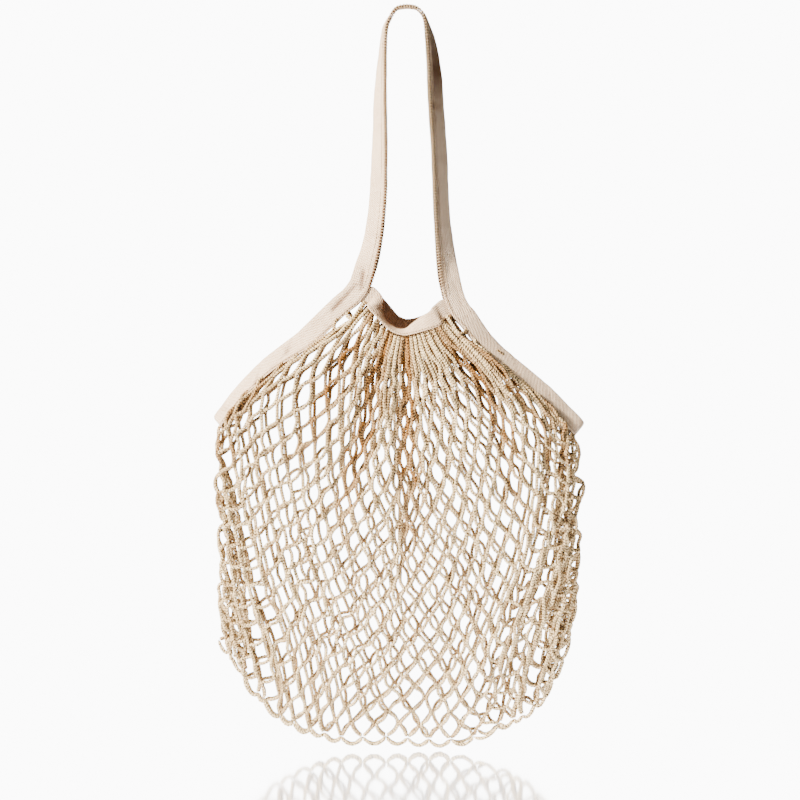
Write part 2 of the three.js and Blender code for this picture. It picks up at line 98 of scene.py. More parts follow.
# How the net settles. A pull is the share of the way to its goal that a node goes in one step.
SETTLE_STEPS = 240
CALM_STEP = 170  # from here on the net sinks and is drawn more gently
EARLY = (0.18, 0.22)  # each step's fall in millimetres, and its pull across towards the flow
CALM = (0.06, 0.08)  # the same from CALM_STEP on
DEPTH_PULL = 0.3
EVEN_PULL = 0.3  # up or down to even rows, where the net hangs from the tapes
SEAM_PULL = 0.6
LEG_ROUNDS = 4  # times in a step that the legs are brought back to their lengths
SHORTEST = 0.9  # the share of its length under which a leg pushes back
PUSH = 0.4  # how firmly it does, beside its pull when it is too long
OVERSHOOT = 2.2  # a node's mean move is made this much larger, to settle sooner

# How a cord runs from node to node
TURN_BACK = 0.75  # radii before a node's middle at which the cord turns
CROSSED = 0.55  # radii by which crossing cords part from front to back
MOST_BOW = 0.13  # the most that a leg bows, as a share of its length
BOWED = 0.85  # the share of its spare length that shows as a bow


def table(text: str) -> dict[str, np.ndarray]:
    """A short table as named columns.

    Args:
        text: the columns' names on its first line, and one row of numbers on each other line.

    Returns:
        The columns by name.
    """
    names, *rows = (line.split() for line in text.strip().splitlines())
    values = np.array([[float(cell) for cell in row] for row in rows])
    return dict(zip(names, values.T, strict=True))


# Where each lane of the net meets the ribbons, by the solid's column, and where it ends at the
# seam: x is a share of half the net's width, drop a share of its height.
ENDS = table(
    """
    lane   rim  seam_x  seam_drop
     0.0   0.0  -1.007      0.763
     1.3   2.0  -0.982      0.779
    2.84   4.0  -0.952      0.799
    4.42   6.0  -0.923      0.819
     7.0   9.0  -0.876      0.853
    12.0  13.0  -0.754      0.922
    17.0  16.0  -0.562      0.979
    22.0  18.7  -0.352      0.998
    27.0  21.0  -0.049      0.990
    32.0  23.3   0.252      0.994
    37.0  26.0   0.547      0.968
    42.0  29.2   0.695      0.926
    47.0  33.0   0.797      0.867
    48.7  36.0   0.822      0.846
    50.5  38.0   0.843      0.814
    52.4  40.0   0.864      0.777
    54.0  42.0   0.881      0.743
    """
)

# The lanes' flow down the net: x, a share of half the width, at six heights (shares of drop).
FLOW_DROPS = np.array([0.053, 0.233, 0.412, 0.592, 0.772, 0.951])
FLOW = table(
    """
    lane       a       b       c       d       e       f
     0.0  -1.002  -1.002  -1.024  -1.018  -1.002  -0.991
     3.0  -0.816  -0.947  -0.974  -0.974  -0.941  -0.903
     5.0  -0.629  -0.881  -0.931  -0.936  -0.898  -0.837
     7.0  -0.411  -0.783  -0.870  -0.892  -0.854  -0.805
    10.0  -0.301  -0.553  -0.717  -0.783  -0.761  -0.750
    12.5  -0.246  -0.411  -0.586  -0.673  -0.668  -0.684
    15.0  -0.192  -0.301  -0.454  -0.553  -0.564  -0.608
    18.0  -0.142  -0.213  -0.312  -0.400  -0.432  -0.498
    21.0  -0.093  -0.131  -0.197  -0.263  -0.301  -0.378
    24.0  -0.044  -0.060  -0.066  -0.077  -0.115  -0.235
    27.0   0.005   0.011   0.016   0.016   0.000  -0.049
    30.0   0.055   0.093   0.137   0.175   0.181   0.170
    33.0   0.104   0.192   0.274   0.317   0.328   0.317
    36.0   0.153   0.290   0.394   0.449   0.454   0.449
    39.0   0.208   0.411   0.536   0.586   0.564   0.547
    42.0   0.268   0.536   0.673   0.706   0.662   0.629
    44.5   0.323   0.640   0.783   0.794   0.739   0.695
    47.0   0.411   0.739   0.837   0.843   0.788   0.744
    49.0   0.547   0.805   0.870   0.870   0.821   0.783
    51.0   0.739   0.865   0.898   0.898   0.848   0.810
    54.0   0.936   0.941   0.941   0.936   0.892   0.859
    """
)

# The rim of the net: where the ribbons' lower edges lie, by the solid's column.
RIM = table(
    """
    column       x    drop
       0.0  -0.996   0.264
       2.0  -0.876   0.204
       4.0  -0.712   0.143
       6.0  -0.520   0.094
       9.0  -0.241  -0.007
      13.0  -0.186   0.013
      16.0  -0.104   0.047
      18.5  -0.055   0.061
      21.0   0.000   0.066
      23.5   0.055   0.062
      26.0   0.104   0.057
      29.0   0.181   0.047
      33.0   0.252   0.024
      36.0   0.400   0.091
      38.0   0.586   0.152
      40.0   0.766   0.222
      42.0   0.914   0.285
    """
)

# The tape along the side slits: lean of its width in the front view, turn away from the viewer,
# both in degrees. Apart is the way to the back tape as a share of the net's depth, tuck how far a
# band lies between the two, and lift how far the back tape is raised, a share of its width.
SLITS = table(
    """
    column  lean  turn  apart  tuck  lift
         0   107    50   0.09     0  0.00
         2   125    52   0.11     0  0.12
         4   130    45   0.12     0  0.25
         6   126    25   0.10     0  0.20
         9   142     8   0.00     1  0.00
        33    46    16   0.00     1  0.00
        36    44    36   0.10     0  0.20
        38    51    50   0.12     0  0.25
        40    47    40   0.11     0  0.12
        42    42    40   0.09     0  0.00
    """
)

# The inner edge of the strap, from the left foot over the top to the right one: x is a share of
# half the mouth's width, drop a share of the strap's drop.
STRAP = table(
    """
         x    drop  lean  turn  tuck
    -0.788   0.945   156     8   1.0
    -0.690   0.896   164    10   1.0
    -0.611   0.842   172    30   0.6
    -0.496   0.743   176    37   0.1
    -0.420   0.586   180    43   0.0
    -0.420   0.471   180    49   0.0
    -0.436   0.300   180    58   0.0
    -0.445   0.167   180    71   0.0
    -0.423   0.075   175    78   0.0
    -0.321   0.027   150    84   0.0
    -0.166  -0.004   110    88   0.0
     0.022  -0.010    90    90   0.0
     0.210  -0.006    70    88   0.0
     0.354   0.010    40    85   0.0
     0.443   0.038    10    80   0.0
     0.489   0.126     0    62   0.0
     0.522   0.273     0    48   0.0
     0.600   0.471     0    46   0.0
     0.642   0.627     0    46   0.0
     0.686   0.764     0    41   0.1
     0.737   0.850     3    33   0.6
     0.780   0.910    12    22   1.0
     0.850   0.965    26    18   1.0
    """
)

# The two ribbons of the mouth: lean and turn of each, the gap between them as a share of the
# mouth's gap, and how far the back one is raised, a share of its width.
MOUTH = table(
    """
    column  front_lean  front_turn  back_lean  back_turn   gap   rise
         9          62           8         62          8  0.00   0.00
        13          60          66         55         16  0.62   0.02
        16          76          75         68         22  0.86   0.02
      18.5          88          75         80         28  0.96   0.02
        21          92          70         90         34  1.00   0.00
      23.5          98          58         95         36  0.98  -0.04
        26         102          44        102         34  0.90  -0.04
        29         110          28        112         22  0.64   0.00
        33         122          14        122         14  0.00   0.00
    """
)

# Half the net's depth down a column, as shares of half the net's depth.
BELLY = table(
    """
    share  side  middle
     0.00  0.20    0.72
     0.20  0.24    0.88
     0.45  0.30    1.00
     0.70  0.28    0.86
     0.88  0.22    0.52
     1.00  0.16    0.30
    """
)

# Folds pressed into both panels: the column, half the breadth in columns, the depth as a share of
# the net's depth, and how far down the net the fold reaches.
PLEATS = table(
    """
    column  breadth  depth  reach
       1.6      0.7  0.060   0.95
       3.8      0.8  0.080   0.90
       6.4      0.9  0.050   0.80
      12.4      0.9  0.100   0.60
      16.6      0.9  0.120   0.66
      20.8      0.8  0.100   0.70
      28.4      0.9  0.120   0.62
      32.8      0.9  0.100   0.55
      36.4      0.9  0.050   0.85
      38.4      0.8  0.070   0.90
      40.4      0.7  0.060   0.95
    """
)


# Creases in the front tape, in the front view: shares of half the width and of the net's height
# for both ends, then half the breadth and the depth in millimetres.
CREASES = table(
    """
        x0   drop0      x1   drop1  breadth  depth
    -0.265  -0.045  -0.395   0.010      2.2    1.1
    -0.225  -0.080  -0.240  -0.035      2.6    1.3
    -0.395   0.010  -0.980   0.235      1.1   0.45
    -0.610   0.070  -0.650   0.105      1.8    0.5
    -0.790   0.130  -0.815   0.175      2.0    0.7
    -0.470   0.045  -0.500   0.085      1.6   0.35
     0.235  -0.080   0.340   0.030      1.4    0.5
     0.340   0.030   0.560   0.100      1.4    0.4
     0.600   0.110   0.625   0.155      1.8    0.5
     0.760   0.165   0.800   0.215      1.8    0.6
    """
)


def between(rows: dict[str, np.ndarray], by: str, at: np.ndarray, key: str) -> np.ndarray:
    """Values of a table between its rows, on a smooth curve that never overshoots.

    Args:
        rows: the table.
        by: the column that places the rows.
        at: where to read it.
        key: the column to read.

    Returns:
        The values, by the cubic Hermite rule with harmonic-mean slopes.
    """
    x, y = rows[by], rows[key]
    rise = np.diff(y) / np.diff(x)
    product = rise[:-1] * rise[1:]
    total = np.where(product > 0, rise[:-1] + rise[1:], 1.0)
    middle = np.where(product > 0, 2 * product / total, 0.0)
    slope = np.concatenate([rise[:1], middle, rise[-1:]])
    at = np.clip(np.asarray(at, dtype=float), x[0], x[-1])
    i = np.clip(np.searchsorted(x, at, side="right") - 1, 0, len(x) - 2)
    span = x[i + 1] - x[i]
    t = (at - x[i]) / span
    t2, t3 = t * t, t * t * t
    return (
        (2 * t3 - 3 * t2 + 1) * y[i]
        + (t3 - 2 * t2 + t) * span * slope[i]
        + (3 * t2 - 2 * t3) * y[i + 1]
        + (t3 - t2) * span * slope[i + 1]
    )


def smooth(at: np.ndarray, low: float | np.ndarray, high: float | np.ndarray) -> np.ndarray:
    """The smooth step 3t^2 - 2t^3 between low and high."""
    t = np.clip((at - low) / (high - low), 0.0, 1.0)
    return t * t * (3 - 2 * t)


def unit(v: np.ndarray) -> np.ndarray:
    """The vectors at length one, along the last axis."""
    return v / np.maximum(np.linalg.norm(v, axis=-1, keepdims=True), 1e-9)


def dot(a: np.ndarray, b: np.ndarray) -> np.ndarray:
    """The vectors' products, kept as a last axis of one."""
    return np.sum(a * b, axis=-1, keepdims=True)


def running(points: np.ndarray) -> np.ndarray:
    """Length along a path at each of its points."""
    return np.concatenate([[0.0], np.cumsum(np.linalg.norm(np.diff(points, axis=0), axis=1))])


def by_axis(points: np.ndarray, read: Callable[[np.ndarray], np.ndarray]) -> np.ndarray:
    """What read gives for x, y and z of some points, as points again."""
    return np.stack([read(points[:, k]) for k in range(3)], axis=-1)


def net_z(drop: np.ndarray) -> np.ndarray:
    """Height of a point that share of the net's height below the strap's feet."""
    return -STRAP_DROP - drop * NET_HEIGHT


def width_way(lean: np.ndarray, turn: np.ndarray) -> np.ndarray:
    """The way a ribbon's width points: lean in the front view, turned away from the viewer."""
    a, b = np.radians(lean), np.radians(turn)
    return np.stack([np.cos(b) * np.cos(a), np.sin(b), np.cos(b) * np.sin(a)], axis=-1)


@dataclass
class Ribbon:
    """A ribbon's stations.

    Attributes:
        edge: the lower or inner edge, in millimetres.
        across: unit vectors from that edge over the width.
        back: unit normals that face the back of the bag.
        apart: the way from this ribbon to the one behind it.
        column: the solid's column of each station, or -1 on the strap.
    """

    edge: np.ndarray
    across: np.ndarray
    back: np.ndarray
    apart: np.ndarray
    column: np.ndarray

    def middle(self) -> np.ndarray:
        """The line half a tape's width in from the edge."""
        return self.edge + self.across * TAPE_WIDTH / 2

    def length(self) -> float:
        """Length of the middle line, in millimetres."""
        return float(running(self.middle())[-1])

    def sample(self, gap: float, first: int, last: int) -> "Ribbon":
        """The ribbon's stations evenly spaced between two of its own.

        Args:
            gap: the spacing, in millimetres.
            first: the first station's index.
            last: the last station's index.

        Returns:
            The new stations.
        """
        part = slice(first, last)
        at = running(self.edge[part])
        wanted = np.arange(gap / 2, at[-1], gap)
        edge, across, back = (
            by_axis(v[part], lambda y: np.interp(wanted, at, y))
            for v in (self.edge, self.across, self.back)
        )
        apart = np.interp(wanted, at, self.apart[part])
        return Ribbon(edge, unit(across), unit(back), apart, np.full(len(wanted), -1.0))

    def refined(self, steps: int) -> "Ribbon":
        """The ribbon with more stations, on smooth curves that don't overshoot.

        The width directions are means weighted by exp(-(distance / 9 mm)^2). Within 14 mm or so
        of a strap's foot the edge is eased towards such a mean as well.

        Args:
            steps: new stations for each old one.

        Returns:
            The finer ribbon.
        """
        count = len(self.edge)
        s = running(self.middle())
        place = np.arange((count - 1) * steps + 1) / steps
        at = np.interp(place, np.arange(count), s)
        edge, across, back = (
            by_axis(v, lambda y: between({"s": s, "y": y}, "s", at, "y"))
            for v in (self.edge, self.across, self.back)
        )
        nearness = np.exp(-(((at[:, None] - at[None]) / 9.0) ** 2))
        across = unit(nearness @ across)
        mean = nearness @ edge / nearness.sum(axis=1, keepdims=True)
        for foot in (LEFT_FOOT, RIGHT_FOOT):
            found = np.flatnonzero(self.column == foot)
            if len(found) and 2 < found[0] < count - 3:
                eased = np.exp(-(((at - s[found[0]]) / 14.0) ** 2))[:, None]
                edge = edge + (mean - edge) * eased
        back = unit(back - dot(back, across) * across)
        low, high = np.floor(place).astype(int), np.ceil(place).astype(int)
        known = (self.column[low] >= 0) & (self.column[high] >= 0)
        column = np.where(known, np.interp(place, np.arange(count), self.column), -1.0)
        return Ribbon(edge, across, back, np.interp(at, s, self.apart), column)

    def at_column(self, column: np.ndarray) -> tuple[np.ndarray, np.ndarray, np.ndarray]:
        """The ribbon at some of the solid's columns.

        Args:
            column: the columns, which may lie between stations.

        Returns:
            Edge, across and back there.
        """
        known = self.column >= 0
        edge, across, back = (
            by_axis(v[known], lambda y: np.interp(column, self.column[known], y))
            for v in (self.edge, self.across, self.back)
        )
        return edge, unit(across), unit(back)


def frames(edge: np.ndarray, across: np.ndarray) -> tuple[np.ndarray, np.ndarray]:
    """Squares the width directions to the path.

    Args:
        edge: points along the ribbon's edge.
        across: the wanted width directions.

    Returns:
        Unit width directions at right angles to the path, and normals that face the back.
    """
    along = unit(np.gradient(edge, axis=0))
    across = unit(across - dot(across, along) * along)
    return across, unit(np.cross(across, along))


def front_tape() -> Ribbon:
    """The front tape: left slit, strap, right slit, by the tables SLITS and STRAP.

    Returns:
        The tape's stations, from the left slit's lowest point to the right one's.
    """

    def slit(column: np.ndarray) -> dict[str, np.ndarray]:
        """One slit.

        Args:
            column: the solid's columns along it.

        Returns:
            Its stations as named arrays.
        """
        apart = LAYER * (1 + 2 * between(SLITS, "column", column, "tuck"))
        apart = apart + between(SLITS, "column", column, "apart") * NET_DEPTH
        edge = np.stack(
            [
                NET_WIDTH / 2 * between(RIM, "column", column, "x"),
                -apart / 2,
                net_z(between(RIM, "column", column, "drop")),
            ],
            axis=-1,
        )
        lean = between(SLITS, "column", column, "lean")
        turn = between(SLITS, "column", column, "turn")
        return {"edge": edge, "across": width_way(lean, turn), "apart": apart, "column": column}

    rows = {**STRAP, "i": np.arange(len(STRAP["x"]), dtype=float)}
    i = np.linspace(0, len(STRAP["x"]) - 1, (len(STRAP["x"]) - 1) * STRAP_STEPS + 1)
    across = width_way(between(rows, "i", i, "lean"), between(rows, "i", i, "turn"))
    tuck = np.clip(between(rows, "i", i, "tuck"), 0, 1)
    apart = LAYER * (1 + 2 * tuck)
    strap = {
        "edge": np.stack(
            [
                between(rows, "i", i, "x") * MOUTH_WIDTH / 2,
                -TAPE_WIDTH / 2 * across[:, 1] * (1 - tuck) - apart / 2 * tuck,
                -between(rows, "i", i, "drop") * STRAP_DROP,
            ],
            axis=-1,
        ),
        "across": across,
        "apart": apart,
        "column": np.full(len(i), -1.0),
    }
    left = slit(np.arange(0, LEFT_FOOT + 1))
    right = slit(np.arange(RIGHT_FOOT, LAST_COLUMN + 1))
    parts = {k: np.concatenate([p[k] for p in (left, strap, right)]) for k in left}
    across, back = frames(parts["edge"], parts["across"])
    return Ribbon(parts["edge"], across, back, parts["apart"], parts["column"])


def back_tape(front: Ribbon) -> Ribbon:
    """The back tape: the front one's stations, a layer or more behind and raised on the slits.

    Args:
        front: the front tape.

    Returns:
        The back tape, with as many stations.
    """
    lift = np.where(
        front.column >= 0, between(SLITS, "column", front.column, "lift") * TAPE_WIDTH, 0.0
    )
    edge = front.edge + front.back * front.apart[:, None] + front.across * lift[:, None]
    return Ribbon(edge, front.across, front.back, front.apart, front.column)


def with_corners(tape: Ribbon) -> Ribbon:
    """Adds the half circles in which the front tape turns round the bottom of each slit.

    A corner's edge is E + r (1 - cos a) B + s r sin a T, with a from 0 to almost a half turn,
    r half the way to the back tape, B the normal, T the path's direction and s the side.

    Args:
        tape: the front tape.

    Returns:
        The tape with a half circle at each end.
    """
    along = unit(np.gradient(tape.edge, axis=0))
    parts = [tape]
    for end, side in ((0, -1.0), (-1, 1.0)):
        r = tape.apart[end] / 2
        a = np.linspace(0, math.pi - 0.3 / (r - TAPE_THICKNESS / 2), 8)[1:, None]
        edge = tape.edge[end] + r * (1 - np.cos(a)) * tape.back[end]
        edge = edge + side * r * np.sin(a) * along[end]
        back = np.cos(a) * tape.back[end] - side * np.sin(a) * along[end]
        across = np.repeat(tape.across[end][None], len(a), 0)
        apart, column = np.full(len(a), tape.apart[end]), np.full(len(a), -1.0)
        if side < 0:
            parts.insert(0, Ribbon(edge[::-1], across, back[::-1], apart, column))
        else:
            parts.append(Ribbon(edge, across, back, apart, column))
    names = ("edge", "across", "back", "apart", "column")
    return Ribbon(*(np.concatenate([getattr(p, name) for p in parts]) for name in names))


def mouth_band(tape: Ribbon, side: float) -> Ribbon:
    """A band of the mouth, its ends flat between the two tapes.

    Args:
        tape: the front tape.
        side: -1 for the front band and 1 for the back one.

    Returns:
        The band's stations, from under the left foot to under the right one.
    """
    name = "front" if side < 0 else "back"
    c = np.arange(LEFT_FOOT, RIGHT_FOOT + 1)
    rise = between(MOUTH, "column", c, "rise") * BAND_WIDTH if side > 0 else np.zeros(len(c))
    edge = np.stack(
        [
            NET_WIDTH / 2 * between(RIM, "column", c, "x"),
            side * between(MOUTH, "column", c, "gap") * MOUTH_GAP / 2,
            net_z(between(RIM, "column", c, "drop")) + rise,
        ],
        axis=-1,
    )
    lean = between(MOUTH, "column", c, f"{name}_lean")
    turn = between(MOUTH, "column", c, f"{name}_turn")
    wanted = width_way(lean, turn)
    ends = {}
    for foot_column, way in ((LEFT_FOOT, 1), (RIGHT_FOOT, -1)):
        foot = int(np.flatnonzero(tape.column == foot_column)[0])

        def midway(up: float, share: float) -> np.ndarray:
            """A point midway between the two tapes.

            Args:
                up: stations up the strap from the foot, whole or not.
                share: the place across the tape, from 0 to 1.

            Returns:
                The point.
            """
            found = []
            for k in (foot + way * int(up), foot + way * (int(up) + 1)):
                middle = tape.edge[k] + tape.across[k] * share * TAPE_WIDTH
                found.append(middle + tape.back[k] * tape.apart[k] / 2)
            return found[0] + (found[1] - found[0]) * (up % 1)

        def tucked(share: float, up: float, aim: float) -> tuple[np.ndarray, ...]:
            """A hidden station, whose width points at a place up the strap.

            Args:
                share: where its edge lies across the tape.
                up: how many stations up the strap that place is.
                aim: where that place lies across the tape.

            Returns:
                Its edge, its width's direction and its normal.
            """
            normal = unit(tape.back[foot] + tape.back[foot + way * round(up)])
            wide = midway(up, aim) - midway(0, share)
            wide = unit(wide - dot(wide, normal) * normal)
            return midway(0, share) + normal * side * LAYER / 2, wide, normal

        ends[way] = tucked(0.0, 1.7, 0.0), tucked(BAND_TUCK / TAPE_WIDTH, 2.5, 0.4)
    for way, k in ((1, slice(0, BAND_FLAT + 1)), (-1, slice(-BAND_FLAT - 1, None))):
        (level, _, normal), _ = ends[way]
        edge[k] += dot(level - edge[k], normal) * normal
        edge[0 if way > 0 else -1] = level
    (start, inside), (stop, beyond) = ends[1], ends[-1]
    path = np.concatenate([inside[0][None], edge, beyond[0][None]])
    across = np.concatenate([inside[1][None], wanted, beyond[1][None]])
    across, back = frames(path, across)
    for k, (_, wide, normal) in (
        (slice(0, 1), inside),
        (slice(1, 2 + BAND_FLAT), start),
        (slice(-2 - BAND_FLAT, -1), stop),
        (slice(-1, None), beyond),
    ):
        across[k], back[k] = wide, normal
    column = np.concatenate([[-1.0], c, [-1.0]])
    return Ribbon(path, across, back, np.zeros(len(path)), column)


def cut_rows(lane: np.ndarray) -> np.ndarray:
    """Half rows that a slit cuts away from the top of a lane, in proportion to its nearness."""
    near = np.minimum(lane, LANES - lane)
    return np.clip((SLIT_LANES - near) * SLIT_ROWS / SLIT_LANES, 0, None)


def painted_pleat_shade(column: np.ndarray, share: np.ndarray) -> np.ndarray:
    """Painted shade of a place of the net, as deep as it lies in a pleat: the sum of the pleats'
    bells, up to 1.

    Args:
        column: the solid's columns.
        share: shares of the way from the rim to the seam.

    Returns:
        The tones.
    """
    tone = np.zeros(np.broadcast(column, share).shape)
    for c0, breadth, deep, reach in zip(*PLEATS.values(), strict=True):
        bell = np.exp(-(((column - c0) / (1.15 * breadth)) ** 2))
        tone += bell * (deep / 0.12) * (1 - smooth(share, reach * 0.3, reach * 0.9))
    return np.clip(tone, 0, 1)


def parted(column: np.ndarray, share: np.ndarray) -> np.ndarray:
    """How far the cords beside each pleat lie drawn away from it, in millimetres.

    The shift is the sum of 6.5 d exp(-d^2), with d the columns to the pleat over 1.2 breadths.

    Args:
        column: the solid's columns.
        share: shares of the way from the rim to the seam.

    Returns:
        The shifts across the panel.
    """
    shift = np.zeros(np.broadcast(column, share).shape)
    for c0, breadth, _, reach in zip(*PLEATS.values(), strict=True):
        d = (column - c0) / (1.2 * breadth)
        held = smooth(share, 0.0, 0.06) * (1 - smooth(share, reach * 0.6, reach))
        shift += 6.5 * d * np.exp(-(d**2)) * held
    return shift


def half_depth(column: np.ndarray, share: np.ndarray) -> np.ndarray:
    """Half the net's depth with its pleats, from the tables BELLY and PLEATS.

    D = (depth / 2) (side + (middle - side) (1 - a^2)) r - sum p exp(-((c - c0) / b)^2), with a the
    place across the panel from -1 to 1 and r a quarter circle at the side folds. Towards the seam
    it narrows to half the seam's thickness.

    Args:
        column: the solid's columns, c in the formula.
        share: shares of the way from the rim to the seam.

    Returns:
        The half depths in millimetres.
    """
    across = 2 * column / LAST_COLUMN - 1
    side = between(BELLY, "share", share, "side")
    middle = between(BELLY, "share", share, "middle")
    fold = np.clip(np.minimum(column, LAST_COLUMN - column) / 2.5, 0, 1)
    round_off = np.sqrt(1 - (1 - fold) ** 2)
    depth = NET_DEPTH / 2 * (side + (middle - side) * (1 - across**2)) * round_off
    for c0, breadth, deep, reach in zip(*PLEATS.values(), strict=True):
        bell = np.exp(-(((column - c0) / breadth) ** 2))
        held = smooth(share, 0.0, 0.05) * (1 - smooth(share, reach * 0.55, reach))
        depth = depth - deep * NET_DEPTH * bell * held
    return depth + (SEAM_HALF - depth) * smooth(share, 0.84, 1.0)


@dataclass
class Net:
    """The net's nodes: lane round the bag, half row down it, then x, y and z in millimetres.

    Attributes:
        nodes: the points; those where lane and row don't add to an even number are unused.
        held: which of them are sewn into a ribbon.
        rng: the generator for the cords' bows and tones.
    """

    nodes: np.ndarray
    held: np.ndarray
    rng: np.random.Generator = field(default_factory=lambda: np.random.default_rng(7))

    @classmethod
    def hang(cls, tapes: tuple[Ribbon, Ribbon], bands: tuple[Ribbon, Ribbon]) -> "Net":
        """Hangs the net from its ribbons.

        Nodes start on the flow of the table FLOW. Then each step lets them fall a little, draws
        them sideways to the flow, and brings every leg back to nearly its own length.

        Args:
            tapes: front and back tape.
            bands: front and back mouth band.

        Returns:
            The net at rest.
        """
        rng = np.random.default_rng(11)
        ring = np.arange(ROUND_LANES)
        front = ring <= LANES
        lane = np.where(front, ring, ROUND_LANES - ring).astype(float)
        side = np.where(front, -1.0, 1.0)
        row = np.arange(HALF_ROWS + 1)
        cut = cut_rows(lane)
        rim = cls.sewn(lane, front, np.zeros(ROUND_LANES), tapes, bands, 0.0)
        seam_x = NET_WIDTH / 2 * between(ENDS, "lane", lane, "seam_x")
        seam_z = net_z(between(ENDS, "lane", lane, "seam_drop")) + 6.0
        heights = net_z(FLOW_DROPS)
        flow = np.stack(
            [NET_WIDTH / 2 * between(FLOW, "lane", lane, key) for key in "abcdef"], axis=1
        )
        at_rim = np.array([np.interp(-z, -heights, f) for z, f in zip(rim[:, 2], flow)])
        at_seam = np.array([np.interp(-z, -heights, f) for z, f in zip(seam_z, flow)])
        column = np.repeat(between(ENDS, "lane", lane, "rim")[:, None], HALF_ROWS + 1, 1)
        drift = cls.drift(rng, lane, side)

        def goal(z: np.ndarray) -> tuple[np.ndarray, np.ndarray]:
            """Where the flow takes the nodes.

            Args:
                z: their heights by lane and half row.

            Returns:
                Their x and y.
            """
            share = np.clip((rim[:, 2:3] - z) / (rim[:, 2] - seam_z)[:, None], 0, 1)
            x = np.array([np.interp(-zs, -heights, f) for zs, f in zip(z, flow)])
            x = x + (1 - smooth(share, 0.0, 0.13)) * (rim[:, 0] - at_rim)[:, None]
            x = x + smooth(share, 0.75, 1.0) * (seam_x - at_seam)[:, None]
            x = x + parted(column, share) * front[:, None]
            deep = side[:, None] * half_depth(column, share)
            blend = smooth(share, 0.0, 0.12)
            return x, rim[:, 1:2] * (1 - blend) + deep * blend

        share = np.clip((row[None] - cut[:, None]) / (HALF_ROWS - cut[:, None]), 0, 1)
        nodes = np.zeros((ROUND_LANES, HALF_ROWS + 1, 3))
        nodes[:, :, 2] = rim[:, 2:3] + (seam_z - rim[:, 2])[:, None] * share
        nodes[:, :, 0], nodes[:, :, 1] = goal(nodes[:, :, 2])
        held = row[None] <= cut[:, None]
        for j in range(SLIT_ROWS + 1):
            here = held[:, j]
            rows = np.full(ROUND_LANES, j)
            nodes[here, j] = cls.sewn(lane, front, rows, tapes, bands, SEWN_IN)[here]
        a_lane, a_row, b_lane, b_row = cls.legs()
        loose = ~(held[a_lane, a_row] & held[b_lane, b_row])
        a_lane, a_row, b_lane, b_row = (v[loose] for v in (a_lane, a_row, b_lane, b_row))
        length = LEG_LENGTH * (1 + 0.04 * rng.standard_normal(len(a_lane)))
        length[a_row < 1] += SEWN_IN
        free = np.where(held, 0.0, 1.0)[:, :, None]
        seam = np.stack([seam_x, side * 2.2, seam_z], axis=-1)
        count = np.zeros((ROUND_LANES, HALF_ROWS + 1, 1))
        np.add.at(count, (a_lane, a_row), 1)
        np.add.at(count, (b_lane, b_row), 1)
        count = np.maximum(count, 1)
        weight = 0.2 + 0.8 * smooth(np.minimum(lane, LANES - lane), 2.0, 13.0)[:, None]
        even = nodes[:, :, 2].copy()
        for step in range(SETTLE_STEPS):
            fall, pull = EARLY if step < CALM_STEP else CALM
            nodes[:, :, 2] -= fall * weight * free[:, :, 0]
            nodes[:, :, 2] += EVEN_PULL * (1 - weight) * (even - nodes[:, :, 2]) * free[:, :, 0]
            if step % 4 == 0:
                goal_x, goal_y = goal(nodes[:, :, 2])
            nodes[:, :, 0] += pull * (goal_x + drift[:, :, 0] - nodes[:, :, 0]) * free[:, :, 0]
            off = goal_y + drift[:, :, 1] - nodes[:, :, 1]
            nodes[:, :, 1] += DEPTH_PULL * off * free[:, :, 0]
            nodes[:, -1] += SEAM_PULL * (seam - nodes[:, -1])
            for _ in range(LEG_ROUNDS):
                way = nodes[b_lane, b_row] - nodes[a_lane, a_row]
                far = np.linalg.norm(way, axis=1)
                slack = np.minimum(far - SHORTEST * length, 0) * PUSH
                over = np.where(far > length, far - length, slack)
                move = way * (over / np.maximum(far, 1e-6) * 0.5)[:, None]
                shift = np.zeros_like(nodes)
                np.add.at(shift, (a_lane, a_row), move)
                np.add.at(shift, (b_lane, b_row), -move)
                nodes += shift / count * OVERSHOOT * free
        far = np.linalg.norm(nodes[b_lane, b_row] - nodes[a_lane, a_row], axis=1)
        log.info("net legs %d, %.1f to %.1f mm long", len(far), far.min(), far.max())
        return cls(nodes, held)

    @staticmethod
    def sewn(
        lane: np.ndarray,
        front: np.ndarray,
        row: np.ndarray,
        tapes: tuple[Ribbon, Ribbon],
        bands: tuple[Ribbon, Ribbon],
        inset: float,
    ) -> np.ndarray:
        """Places on the ribbons where nodes are sewn in.

        A node above the slit's cut lies where the cut passes midway between its lane and row.

        Args:
            lane: each node's lane in its panel.
            front: which of them are in the front panel.
            row: their half rows.
            tapes: front and back tape.
            bands: front and back mouth band.
            inset: how far up behind the ribbon they lie, in millimetres.

        Returns:
            The points.
        """
        near = np.minimum(lane, LANES - lane)
        along = ((SLIT_LANES - near) / SLIT_LANES + row / SLIT_ROWS) / 2
        along = np.where(near < SLIT_LANES, np.where(row > 0, along, 1 - near / SLIT_LANES), 0.0)
        moved = np.where(near < SLIT_LANES, SLIT_LANES * (1 - np.clip(along, 0, 1)), near)
        place = np.where(lane <= LANES / 2, moved, LANES - moved)
        column = between(ENDS, "lane", place, "rim")
        out = np.zeros((len(lane), 3))
        on_tape = (column <= LEFT_FOOT) | (column >= RIGHT_FOOT)
        for tape, band, here, way in (
            (tapes[0], bands[0], front, 1.0),
            (tapes[1], bands[1], ~front, -1.0),
        ):
            for ribbon, mask in ((tape, here & on_tape), (band, here & ~on_tape)):
                edge, across, back = ribbon.at_column(column[mask])
                behind = back * way * (TAPE_THICKNESS / 2 + 0.9) if inset else 0.0
                out[mask] = edge + across * (inset - 0.3) + behind
        for fold in (0, LANES):
            twins = (fold + 1) % ROUND_LANES, (fold - 1) % ROUND_LANES
            out[fold, 1] = (out[twins[0], 1] + out[twins[1], 1]) / 2
        return out

